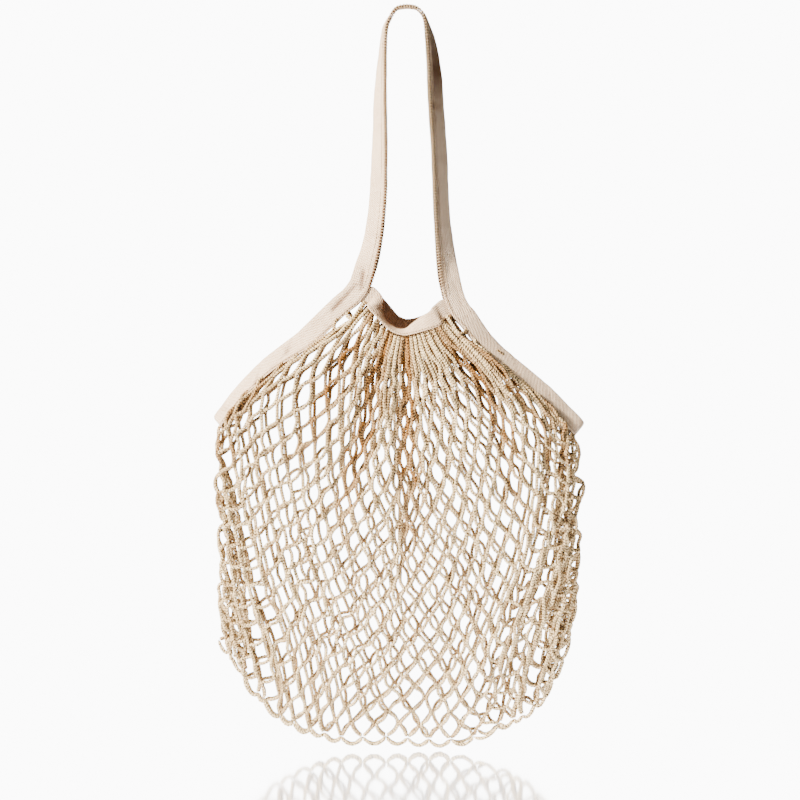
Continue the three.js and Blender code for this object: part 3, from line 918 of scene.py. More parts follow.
    @staticmethod
    def legs() -> tuple[np.ndarray, np.ndarray, np.ndarray, np.ndarray]:
        """The net's legs, two down from every node.

        Returns:
            Lane and row of each leg's upper end, then those of its lower end.
        """
        lane, row = np.meshgrid(np.arange(ROUND_LANES), np.arange(HALF_ROWS), indexing="ij")
        keep = (lane + row) % 2 == 0
        lane, row = lane[keep], row[keep]
        lanes = np.concatenate([lane, lane])
        rows = np.concatenate([row, row])
        ends = np.concatenate([(lane + 1) % ROUND_LANES, (lane - 1) % ROUND_LANES])
        return lanes, rows, ends, rows + 1

    @staticmethod
    def drift(rng: np.random.Generator, lane: np.ndarray, side: np.ndarray) -> np.ndarray:
        """Wanderings of the nodes off the flow, in millimetres.

        Broad waves that both panels share, a slow shift of the back panel, and a little scatter.

        Args:
            rng: draws the waves and the scatter.
            lane: each lane's place in its panel.
            side: -1 for lanes of the front panel and 1 for the others.

        Returns:
            The shift in x and y by lane and half row.
        """
        row = np.arange(HALF_ROWS + 1)[None] / HALF_ROWS
        u = lane[:, None] / LANES
        out = np.zeros((len(lane), HALF_ROWS + 1, 2))
        for _ in range(14):
            k, m = rng.uniform(1.0, 7.0), rng.uniform(0.5, 4.0)
            wave = np.sin(2 * np.pi * (k * u + m * row) + rng.uniform(0, 6.28))
            out[:, :, 0] += wave * rng.uniform(0.2, 0.9)
            out[:, :, 1] += wave * rng.uniform(0.2, 0.7)
        behind = (side > 0)[:, None]
        out[:, :, 0] += behind * (1.0 + 1.6 * np.sin(2 * np.pi * (1.3 * u + 0.9 * row)))
        out += rng.standard_normal(out.shape) * 0.45
        out = out * smooth(row, 0.0, 0.2)[:, :, None]
        # Below the mouth the back panel's cords show in the gaps of the front's.
        out[:, :, 0] += behind * 2.6 * (1 - smooth(row, 0.15, 0.4))
        return out

    def strands(self, steps: int = 14) -> tuple[np.ndarray, np.ndarray, np.ndarray]:
        """The cords as smooth zigzags through the nodes.

        Strand k runs between lanes k and k + 1 and turns at a node in every half row. Each leg
        bows by the length that it has to spare: h = sqrt(3 (L^2 - c^2) / 8), c its chord.

        Args:
            steps: sections in each leg.

        Returns:
            Points by strand and section, in millimetres, which sections are there, and tones of
            painted shade.
        """
        k = np.arange(ROUND_LANES)[:, None]
        row = np.arange(HALF_ROWS + 1)[None]
        lane = np.where((k + row) % 2 == 0, k, (k + 1) % ROUND_LANES)
        path = self.nodes[lane, row]
        before = np.concatenate([path[:, :1], path[:, :-1]], axis=1)
        after = np.concatenate([path[:, 1:], path[:, -1:]], axis=1)
        inward = unit((before + after) / 2 - path)
        parity = np.where(k % 2 == 0, 1.0, -1.0)[:, :, None]
        path = path + inward * CORD_RADIUS * TURN_BACK
        path = path + parity * np.array([0.0, CROSSED * CORD_RADIUS, 0.0])
        chord = np.linalg.norm(path[:, 1:] - path[:, :-1], axis=2, keepdims=True)
        slack = np.sqrt(np.clip(LEG_LENGTH**2 - chord**2, 0, None) * 3 / 8)
        slack = np.minimum(slack, MOST_BOW * LEG_LENGTH)
        way = unit(path[:, 1:] - path[:, :-1])
        wild = self.rng.standard_normal(way.shape)
        wild[:, :, 2] -= 0.6
        wild = unit(wild - dot(wild, way) * way)
        middle = (path[:, 1:] + path[:, :-1]) / 2 + wild * slack * BOWED
        points = np.empty((ROUND_LANES, 2 * HALF_ROWS + 1, 3))
        points[:, 0::2] = path
        points[:, 1::2] = middle
        there = ~self.held[lane, row][:, 1:]
        there = np.repeat(there, steps, axis=1)
        # Painted shade: cords in the pleats and those of the back panel are darkened as in the others'
        # shade, the back ones most near the mouth. All cords are a little darker towards the bottom,
        # and each one's tone differs at random.
        panel = np.where(k <= LANES, k, ROUND_LANES - k).astype(float)
        column = between(ENDS, "lane", panel, "rim")
        tone = painted_pleat_shade(column + 0 * row, np.broadcast_to(row / HALF_ROWS, lane.shape))
        gathered = 1 - smooth(row / HALF_ROWS, 0.1, 0.45)
        tone = np.where(k <= LANES, tone * 0.9 + 0.05, tone * 0.4 + 0.3 + 0.25 * gathered)
        tone = tone + 0.2 * row / HALF_ROWS
        tone = tone + self.rng.uniform(-0.28, 0.28, tone.shape)
        place = np.arange(HALF_ROWS * steps + 1) / steps
        low = np.floor(place).astype(int)
        high = np.minimum(low + 1, HALF_ROWS)
        tone = tone[:, low] * (1 - place + low) + tone[:, high] * (place - low)
        return spline(points, steps // 2), there, np.clip(tone, 0, 1)


def spline(points: np.ndarray, steps: int) -> np.ndarray:
    """A Catmull-Rom curve through points.

    Args:
        points: the points by strand and place along it.
        steps: sections between two of them.

    Returns:
        The curve's points by strand and section.
    """
    before = np.concatenate([2 * points[:, :1] - points[:, 1:2], points[:, :-2]], axis=1)
    after = np.concatenate([points[:, 2:], 2 * points[:, -1:] - points[:, -2:-1]], axis=1)
    p0, p1, p2, p3 = before, points[:, :-1], points[:, 1:], after
    t = np.arange(steps)[None, None, :, None] / steps
    p0, p1, p2, p3 = (p[:, :, None] for p in (p0, p1, p2, p3))
    curve = 0.5 * (
        2 * p1
        + (p2 - p0) * t
        + (2 * p0 - 5 * p1 + 4 * p2 - p3) * t**2
        + (3 * p1 - p0 - 3 * p2 + p3) * t**3
    )
    curve = curve.reshape(points.shape[0], -1, 3)
    return np.concatenate([curve, points[:, -1:]], axis=1)


@dataclass
class Surface:
    """Points, quads, texture coordinates and tone of one mesh, gathered from arrays.

    Tone is the painted shade at a point, from 0 to 1, most of all deep in a fold; on the cords it also
    differs at random.
    """

    points: np.ndarray
    quads: np.ndarray
    uv: np.ndarray
    tone: np.ndarray


def tubes(
    paths: np.ndarray,
    radius: float,
    sides: int,
    lobes: float = 0.0,
    pitch: float = 6.0,
    there: np.ndarray | None = None,
    tone: np.ndarray | None = None,
) -> Surface:
    """Round or two-ply cords along paths.

    A point is P + r (1 + l cos 2(a - 2 pi s / p)) (cos a N + sin a M), with s the length along the
    cord, p the pitch of the ply, l the depth of its lobes, and N, M carried along without twist.

    Args:
        paths: points by cord and section, in millimetres.
        radius: the cord's radius.
        sides: points in a section.
        lobes: the depth of the ply's groove as a share of the radius.
        pitch: one turn of the ply.
        there: which stretches between sections are kept, or None for all.
        tone: each section's painted shade, or None for none.

    Returns:
        The surface; u runs round the cord and v along it in centimetres.
    """
    count, sections, _ = paths.shape
    along = unit(np.gradient(paths, axis=1))
    step = np.linalg.norm(np.diff(paths, axis=1), axis=2)
    length = np.concatenate([np.zeros((count, 1)), np.cumsum(step, axis=1)], axis=1)
    normal = np.empty_like(paths)
    start = np.tile(np.array([0.0, 1.0, 0.2]), (count, 1))
    for k in range(sections):
        start = unit(start - dot(start, along[:, k]) * along[:, k])
        normal[:, k] = start
    other = np.cross(along, normal)
    angle = np.arange(sides) / sides * 2 * np.pi
    phase = 2 * (angle[None, None] - 2 * np.pi * length[:, :, None] / pitch)
    reach = radius * (1 + lobes * np.cos(phase))
    if there is None:
        there = np.ones((count, sections - 1), dtype=bool)
    ends = np.concatenate([there, there[:, -1:]], axis=1)
    ends[:, 1:] &= there
    ends[:, [0, -1]] = False
    reach = reach * np.where(ends, 1.0, 0.04)[:, :, None]
    points = (
        paths[:, :, None]
        + reach[..., None] * np.cos(angle)[None, None, :, None] * normal[:, :, None]
        + reach[..., None] * np.sin(angle)[None, None, :, None] * other[:, :, None]
    )
    index = np.arange(count * sections * sides).reshape(count, sections, sides)
    nxt = np.roll(index, -1, axis=2)
    quads = np.stack([index[:, :-1], nxt[:, :-1], nxt[:, 1:], index[:, 1:]], axis=-1)
    u0 = np.broadcast_to(np.arange(sides) / sides, (count, sections - 1, sides))
    u1 = u0 + 1 / sides
    offset = (np.arange(count) * 3.7 % 11)[:, None, None]
    v0 = np.broadcast_to(length[:, :-1, None] / 10 + offset, u0.shape)
    v1 = np.broadcast_to(length[:, 1:, None] / 10 + offset, u0.shape)
    round_quad = (u0, v0), (u1, v0), (u1, v1), (u0, v1)
    uv = np.stack([np.stack(corner, -1) for corner in round_quad], axis=-2)
    keep = np.repeat(there[:, :, None], sides, axis=2).ravel()
    used, quads = np.unique(quads.reshape(-1, 4)[keep], return_inverse=True)
    if tone is None:
        tone = np.zeros((count, sections))
    tone = np.repeat(tone[:, :, None], sides, axis=2).ravel()[used]
    points = points.reshape(-1, 3)[used]
    return Surface(points, quads.reshape(-1, 4), uv.reshape(-1, 4, 2)[keep], tone)


def places_across() -> np.ndarray:
    """The places over a ribbon's width that its surfaces use, as shares, closer at the edges."""
    return 0.5 - 0.5 * np.cos(np.linspace(0, np.pi, PLACES_ACROSS))


def tape_shade(ribbon: Ribbon) -> np.ndarray:
    """Tone of a tape: dark under its stitches, and on the strap's right leg, in its own shade.

    The strap's painted shade is a step over the serging, a bell under the line of stitches, and on the
    right leg, turned from the light, a band that fades from the top down. A binding's painted shade is
    a bell under its stitches.

    Args:
        ribbon: the stations.

    Returns:
        The tone at each station and place across.
    """
    a = places_across()[None]
    strap = (ribbon.column < 0)[:, None] * smooth(ribbon.edge[:, 2:], -295.0, -280.0)
    right = np.clip(ribbon.across[:, :1] * 1.6, 0, 1)
    serged = 0.8 * (1 - smooth(a, 0.06 + 0.08 * right, 0.12 + 0.08 * right))
    serged = serged + 0.8 * (0.2 + 0.8 * right) * np.exp(-(((a - 0.27) / 0.03) ** 2))
    bound = 0.5 * np.exp(-(((a - 0.11) / 0.04) ** 2))
    down = -ribbon.edge[:, 2:]
    leg = smooth(down, 6.0, 24.0) * (1 - 0.75 * smooth(down, 50.0, 130.0))
    leg = 0.95 * leg * (1 - smooth(down, 130.0, 270.0)) * smooth(a, 0.24, 0.34)
    return strap * (serged + right * leg) + (1 - strap) * bound


def band_shade(ribbon: Ribbon, dip: float) -> np.ndarray:
    """Painted shade of a band: dark where it dips into the mouth's left corner, towards its upper
    edge.

    Args:
        ribbon: the stations.
        dip: the tone at the deepest place of the upper edge, the peak of a bell.

    Returns:
        The tone at each station and place across.
    """
    bell = np.exp(-(((ribbon.column - 15.0) / 3.0) ** 2))
    return dip * bell[:, None] * places_across()[None]


def cloth_wave(ribbon: Ribbon, width: float, seed: int) -> np.ndarray:
    """Waves and creases of a tape, in millimetres along its normal.

    h = sum A sin(2 pi (s / L + q a) + p) + sum d exp(-(distance to the crease / b)^2), with s the
    length along the tape and a the place across; a crease's distance is taken in the front view.

    Args:
        ribbon: the stations.
        width: the tape's width.
        seed: sets the waves.

    Returns:
        The shift at each station and each place across.
    """
    rng = np.random.default_rng(seed)
    cuts = places_across()
    s = running(ribbon.edge)[:, None]
    wave = np.zeros((len(s), len(cuts)))
    for span, high in ((90.0, 0.22), (41.0, 0.14), (23.0, 0.10), (11.0, 0.06)):
        slant, phase = rng.uniform(-0.3, 0.3), rng.uniform(0, 6.28)
        wave += high * np.sin(2 * np.pi * (s / span + slant * cuts[None]) + phase)
    points = ribbon.edge[:, None] + (cuts * width)[None, :, None] * ribbon.across[:, None]
    flat = points[:, :, [0, 2]]
    for x0, drop0, x1, drop1, breadth, depth in zip(*CREASES.values(), strict=True):
        start = np.array([NET_WIDTH / 2 * x0, net_z(drop0)])
        way = np.array([NET_WIDTH / 2 * x1, net_z(drop1)]) - start
        t = np.clip((flat - start) @ way / (way @ way), 0, 1)[..., None]
        far = np.linalg.norm(flat - start - t * way, axis=-1)
        wave += depth * np.exp(-((far / breadth) ** 2))
    return wave


def ribbon_surface(
    ribbon: Ribbon,
    width: float,
    wave: np.ndarray,
    inner: tuple[float, float],
    shade: np.ndarray,
) -> Surface:
    """A tape with rounded edges.

    A point is E + a w A + h B: a runs over the width, h is half the thickness times
    (1 - 0.85 |2a - 1|^6)^(1/2), and the wave shifts both faces alike along the normal B.

    Args:
        ribbon: the stations.
        width: the tape's width.
        wave: the shift at each station and place across, in millimetres.
        inner: painted shade on the front face and on the back face.
        shade: more painted shade at each station and place across, as for the wave.

    Returns:
        The surface; u is across and v along, in centimetres.
    """
    sections = len(ribbon.edge)
    cuts = places_across()
    high = TAPE_THICKNESS / 2 * np.sqrt(1 - np.abs(2 * cuts - 1) ** 6 * 0.85)
    a = np.concatenate([cuts, cuts[::-1]])
    h = np.concatenate([-high, high[::-1]])
    both_waves = np.concatenate([wave, wave[:, ::-1]], axis=1)
    lift = h[None] + both_waves
    points = (
        ribbon.edge[:, None]
        + (a * width)[None, :, None] * ribbon.across[:, None]
        + lift[..., None] * ribbon.back[:, None]
    )
    size = len(a)
    index = np.arange(sections * size).reshape(sections, size)
    nxt = np.roll(index, -1, axis=1)
    quads = np.stack([index[:-1], index[1:], nxt[1:], nxt[:-1]], axis=-1).reshape(-1, 4)
    length = running(ribbon.edge + ribbon.across * width / 2)
    u = np.broadcast_to(a * width / 10, (sections, size))
    v = np.broadcast_to(length[:, None] / 10, (sections, size))
    grid = np.stack([u, v], -1)
    side = np.roll(grid, -1, axis=1)
    uv = np.stack([grid[:-1], grid[1:], side[1:], side[:-1]], axis=-2).reshape(-1, 4, 2)
    k = np.arange(len(cuts) - 1)
    start, end = (
        np.stack([ring[k], ring[k + 1], ring[size - 2 - k], ring[size - 1 - k]], axis=-1)
        for ring in (index[0], index[-1])
    )
    caps = np.concatenate([start, end[:, ::-1]])
    flat = np.zeros((len(caps), 4, 2))
    # Painted shade: on the faces given by inner, where the wave presses the cloth back more than 0.3
    # mm as in the creases, and as shade gives it.
    tone = np.where(h < 0, inner[0], inner[1])
    tone = tone[None] + np.clip((both_waves - 0.3) * 0.8, 0, 0.8)
    tone = tone + np.concatenate([shade, shade[:, ::-1]], axis=1)
    # The edges that face away from the light are in their own shade.
    right = ribbon.across[:, :1]
    tone = tone + 0.9 * np.clip(right, 0, 1) * smooth(a, 0.93, 1.0)[None]
    tone = tone + 0.9 * np.clip(-right, 0, 1) * smooth(1 - a, 0.93, 1.0)[None]
    faces = np.concatenate([quads, caps])
    return Surface(points.reshape(-1, 3), faces, np.concatenate([uv, flat]), tone.ravel())


def linear(hexed: str) -> tuple[float, float, float, float]:
    """An sRGB hex colour as linear RGBA."""
    parts = [int(hexed[i : i + 2], 16) / 255 for i in (1, 3, 5)]
    return (*(c / 12.92 if c <= 0.04045 else ((c + 0.055) / 1.055) ** 2.4 for c in parts), 1.0)


class Weave(Enum):
    """What a fabric's surface shows close up."""

    CHAIN = "chain"
    TWILL = "twill"
    THREAD = "thread"


@dataclass(frozen=True)
class Finish:
    """A fabric's look.

    Attributes:
        name: the material's name.
        light: colour of the raised yarn.
        dark: colour of the grooves, painted shade between the raised yarn.
        fold: the painted shade's colour, by which the cloth's colour is multiplied where the mesh's
            tone is high, as deep in a fold.
        weave: its pattern.
        pitch_mm: the pattern's repeat.
        relief_mm: how deep the grooves look.
        roughness: the yarn's roughness.
    """

    name: str
    light: str
    dark: str
    fold: str
    weave: Weave
    pitch_mm: float
    relief_mm: float
    roughness: float = 0.9


# Spun cotton, knitted into a round cord: quite matt, its slanted stitches catch the light in pairs
# and the grooves between them take a brown painted shade, as do the pleats and the back panel. A
# stitch is 3 mm long, as on such cord.
CORD = Finish("cotton_cord", "#ffe1ae", "#331804", "#a07c54", Weave.CHAIN, 3.0, 1.0)
# Unbleached cotton, woven in twill: matt and warm, with fine slanted ribs that soften the light, a
# brown painted shade in the grooves between them and a deep brown painted shade in creases, under
# stitches, on inner faces and where edges and the strap's right leg turn from the light. Real ribs
# lie 0.5 mm apart, too fine to show, so they are drawn 2.1 mm apart.
TAPE = Finish("cotton_twill", "#f4dec4", "#a87a4c", "#664630", Weave.TWILL, 2.1, 0.8)
# The same twill on the mouth's bands, a shade yellower, with a lighter brown painted shade deep in
# its folds and on its inner faces.
BAND = Finish("cotton_twill_band", "#f2dabd", "#a37548", "#8a6246", Weave.TWILL, 2.1, 0.8)
# Twisted cotton thread: beads of light with a brown painted shade in the gaps. Its twist is drawn
# every 0.8 mm, coarser than the real 0.3 mm, because the thread is drawn thicker too.
THREAD = Finish("sewing_thread", "#dcc09a", "#4a2c12", "#80604a", Weave.THREAD, 0.8, 0.1)


class Nodes:
    """Adds nodes to the tree of a material or of the world."""

    def __init__(self, owner: bpy.types.Material | bpy.types.World) -> None:
        """Starts an empty tree.

        Args:
            owner: the material or world that the tree belongs to.
        """
        owner.use_nodes = True
        self.tree = owner.node_tree
        self.tree.nodes.clear()

    def add(self, kind: str, inputs: dict | None = None, **settings: object) -> bpy.types.Node:
        """One node.

        Args:
            kind: its type.
            inputs: values or output sockets by input name or index.
            settings: its own properties.

        Returns:
            The node.
        """
        node = self.tree.nodes.new(kind)
        for key, value in settings.items():
            setattr(node, key, value)
        for key, value in (inputs or {}).items():
            if isinstance(value, bpy.types.NodeSocket):
                self.tree.links.new(value, node.inputs[key])
            else:
                node.inputs[key].default_value = value
        return node

    def maths(self, operation: str, *values: object, clamp: bool = False) -> bpy.types.NodeSocket:
        """One sum.

        Args:
            operation: which sum.
            values: numbers or output sockets.
            clamp: whether the result is kept between 0 and 1.

        Returns:
            The result.
        """
        inputs = dict(enumerate(values))
        return self.add("ShaderNodeMath", inputs, operation=operation, use_clamp=clamp).outputs[0]

    def seen(self) -> bpy.types.NodeSocket:
        """One for rays from the camera or off a mirror, nought for light on the bag."""
        ray = self.add("ShaderNodeLightPath").outputs
        return self.maths("MAXIMUM", ray["Is Camera Ray"], ray["Is Glossy Ray"])


def fabric(finish: Finish) -> bpy.types.Material:
    """A fabric's material: its weave in colour and bump, with soft blotches and fuzz.

    Args:
        finish: the fabric's colours, weave and relief.

    Returns:
        The material, darkened by painted shade where the mesh's tone is high.
    """
    material = bpy.data.materials.new(finish.name)
    n = Nodes(material)
    uv = n.add("ShaderNodeUVMap", uv_map="UVMap").outputs["UV"]
    part = n.add("ShaderNodeSeparateXYZ", {"Vector": uv})
    u, v = part.outputs["X"], part.outputs["Y"]
    per_cm = 10.0 / finish.pitch_mm
    if finish.weave is Weave.CHAIN:
        # Two columns of slanted stitches: the slant turns over half way round the cord.
        fold = n.maths("PINGPONG", n.maths("MULTIPLY", u, 2.0), 0.5)
        rise = n.maths("ADD", n.maths("MULTIPLY", v, per_cm), n.maths("MULTIPLY", fold, 1.3))
        stripe = n.maths("SINE", n.maths("MULTIPLY", rise, 2 * math.pi))
        pattern = n.maths("MULTIPLY_ADD", stripe, 0.5, 0.5)
        seam = n.maths("SINE", n.maths("MULTIPLY", u, 4 * math.pi))
        seam = n.maths("POWER", n.maths("ABSOLUTE", seam), 0.35)
        pattern = n.maths("MULTIPLY", n.maths("POWER", pattern, 0.6), seam)
    elif finish.weave is Weave.TWILL:
        rise = n.maths("ADD", n.maths("MULTIPLY", v, per_cm), n.maths("MULTIPLY", u, per_cm * 0.7))
        stripe = n.maths("SINE", n.maths("MULTIPLY", rise, 2 * math.pi))
        cross = n.maths("SINE", n.maths("MULTIPLY", u, 2 * math.pi * per_cm))
        pattern = n.maths("MULTIPLY_ADD", n.maths("MULTIPLY", stripe, 0.7), 0.5, 0.5)
        pattern = n.maths("MULTIPLY_ADD", n.maths("MULTIPLY", cross, 0.15), 1.0, pattern)
    else:
        rise = n.maths("ADD", n.maths("MULTIPLY", v, per_cm), u)
        pattern = n.maths("SINE", n.maths("MULTIPLY", rise, 2 * math.pi))
        pattern = n.maths("MULTIPLY_ADD", pattern, 0.5, 0.5)
    coords = n.add("ShaderNodeTexCoord").outputs["Object"]
    blotch = n.add("ShaderNodeTexNoise", {"Vector": coords, "Scale": 45.0, "Detail": 4.0})
    grain = 560.0 if finish.weave is Weave.CHAIN else 1400.0
    fuzz = n.add("ShaderNodeTexNoise", {"Vector": coords, "Scale": grain, "Detail": 3.0})
    height = n.maths("ADD", pattern, n.maths("MULTIPLY", fuzz.outputs["Fac"], 0.5))
    # Painted shade: the weave's grooves take the dark colour and its raised yarn the light one; the
    # fuzz adds specks that differ at random.
    speck = n.maths("MULTIPLY_ADD", fuzz.outputs["Fac"], 3.0, -1.5)
    shade = n.maths("MULTIPLY_ADD", pattern, 1.2, 0.05)
    shade = n.maths("ADD", shade, speck, clamp=True)
    base = n.add(
        "ShaderNodeMix",
        {"Factor": shade, 6: linear(finish.dark), 7: linear(finish.light)},
        data_type="RGBA",
    )
    # Painted shade: the colour is multiplied towards the fold colour as far as the mesh's tone goes.
    tone = n.add("ShaderNodeAttribute", attribute_name="tone").outputs["Fac"]
    painted_shade_mix = n.add(
        "ShaderNodeMix",
        {"Factor": tone, 6: base.outputs[2], 7: linear(finish.fold)},
        data_type="RGBA",
        blend_type="MULTIPLY",
    )
    tint = n.maths("MULTIPLY_ADD", blotch.outputs["Fac"], 0.3, 0.85)
    toned = n.add(
        "ShaderNodeVectorMath", {0: painted_shade_mix.outputs[2], "Scale": tint}, operation="SCALE"
    )
    bump = n.add(
        "ShaderNodeBump",
        {"Height": height, "Strength": 0.8, "Distance": finish.relief_mm * MM},
    )
    shader = n.add(
        "ShaderNodeBsdfPrincipled",
        {
            "Base Color": toned.outputs[0],
            "Roughness": finish.roughness,
            "Normal": bump.outputs["Normal"],
            "Specular IOR Level": 0.0,
        },
    )
    n.add("ShaderNodeOutputMaterial", {"Surface": shader.outputs[0]})
    return material


class Library:
    """The materials, each made once."""

    def __init__(self) -> None:
        """Starts with none made."""
        self.made: dict[str, bpy.types.Material] = {}

    def get(self, finish: Finish) -> bpy.types.Material:
        """The material of a finish, made when it is first asked for.

        Args:
            finish: the finish.

        Returns:
            Its material.
        """
        if finish.name not in self.made:
            self.made[finish.name] = fabric(finish)
        return self.made[finish.name]


def build(name: str, surface: Surface, material: bpy.types.Material) -> bpy.types.Object:
    """Makes one piece from a surface in millimetres.

    Args:
        name: the piece's name.
        surface: its points, quads and texture coordinates.
        material: its finish.

    Returns:
        The object, smooth shaded, at the origin.
    """
    mesh = bpy.data.meshes.new(name)
    count = len(surface.quads)
    mesh.vertices.add(len(surface.points))
    mesh.vertices.foreach_set("co", (surface.points * MM).astype(np.float32).ravel())
    mesh.loops.add(count * 4)
    mesh.loops.foreach_set("vertex_index", surface.quads.astype(np.int32).ravel())
    mesh.polygons.add(count)
    mesh.polygons.foreach_set("loop_start", np.arange(0, count * 4, 4, dtype=np.int32))
    mesh.polygons.foreach_set("use_smooth", np.ones(count, dtype=bool))
    mesh.update(calc_edges=True)
    layer = mesh.uv_layers.new(name="UVMap")
    layer.data.foreach_set("uv", surface.uv.astype(np.float32).ravel())
    shade = mesh.attributes.new("tone", "FLOAT", "POINT")
    shade.data.foreach_set("value", surface.tone.astype(np.float32))
    mesh.materials.append(material)
    mesh.validate()
    piece = bpy.data.objects.new(name, mesh)
    bpy.context.scene.collection.objects.link(piece)
    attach(piece, "root")
    log.info("%s: %d faces", name, count)
    return piece


@dataclass
class NetPieces:
    """The net's cords and the loops along its seam.

    Attributes:
        net: the net at rest.
        library: the materials.
        sides: points round a cord's section.
        ply_depth: depth of the groove between a cord's two plies, a share of its radius.
        ply_pitch: one turn of the plies, in millimetres.
        sag: how far a seam loop hangs down, a share of its width.
        least_sag: how far the shortest seam loop hangs down, in millimetres.
        most_sag: how far the longest one does.
    """

    net: Net
    library: Library
    sides: int = 8
    ply_depth: float = 0.16
    ply_pitch: float = 6.0
    sag: float = 0.36
    least_sag: float = 4.5
    most_sag: float = 7.5

    def make(self) -> None:
        """Builds the cords in four pieces and the seam."""
        paths, there, tone = self.net.strands()
        quarter = ROUND_LANES // 4
        for name, first in (
            ("net_front_left", 0),
            ("net_front_right", quarter),
            ("net_back_right", 2 * quarter),
            ("net_back_left", 3 * quarter),
        ):
            part = slice(first, first + quarter)
            surface = self.cords(paths[part], there[part], tone[part])
            piece = build(name, surface, self.library.get(CORD))
            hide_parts("net_body")
        seam = build("seam_loops", self.seam(), self.library.get(CORD))

    def seam(self) -> Surface:
        """Loops of cord that hang between the lowest nodes, one row for each panel.

        A loop is the straight line between two nodes lowered by d sin(pi t)^0.8, with d a share
        of the line's length within limits.

        Returns:
            The loops.
        """
        rows = []
        lanes = np.arange(0, LANES + 1, 2)
        for side, lane in ((-1.0, lanes), (1.0, (ROUND_LANES - lanes) % ROUND_LANES)):
            node = self.net.nodes[lane, HALF_ROWS]
            t = np.linspace(0, 1, 13)[None, :, None]
            a, b = node[:-1, None], node[1:, None]
            gap = np.linalg.norm(node[1:] - node[:-1], axis=1)[:, None, None]
            deep = np.sin(np.pi * t) ** 0.8 * np.clip(gap * self.sag, self.least_sag, self.most_sag)
            loop = a * (1 - t) + b * t
            loop = loop + np.array([0.0, side * 0.8, 0.0]) - deep * np.array([0.0, 0.0, 1.0])
            rows.append(loop)
        return self.cords(np.concatenate(rows))

    def cords(self, paths: np.ndarray, *there_and_tone: np.ndarray) -> Surface:
        """Cords of the net's own make along paths, with what tubes may take besides."""
        ply = self.ply_depth, self.ply_pitch
        return tubes(paths, CORD_RADIUS, self.sides, *ply, *there_and_tone)


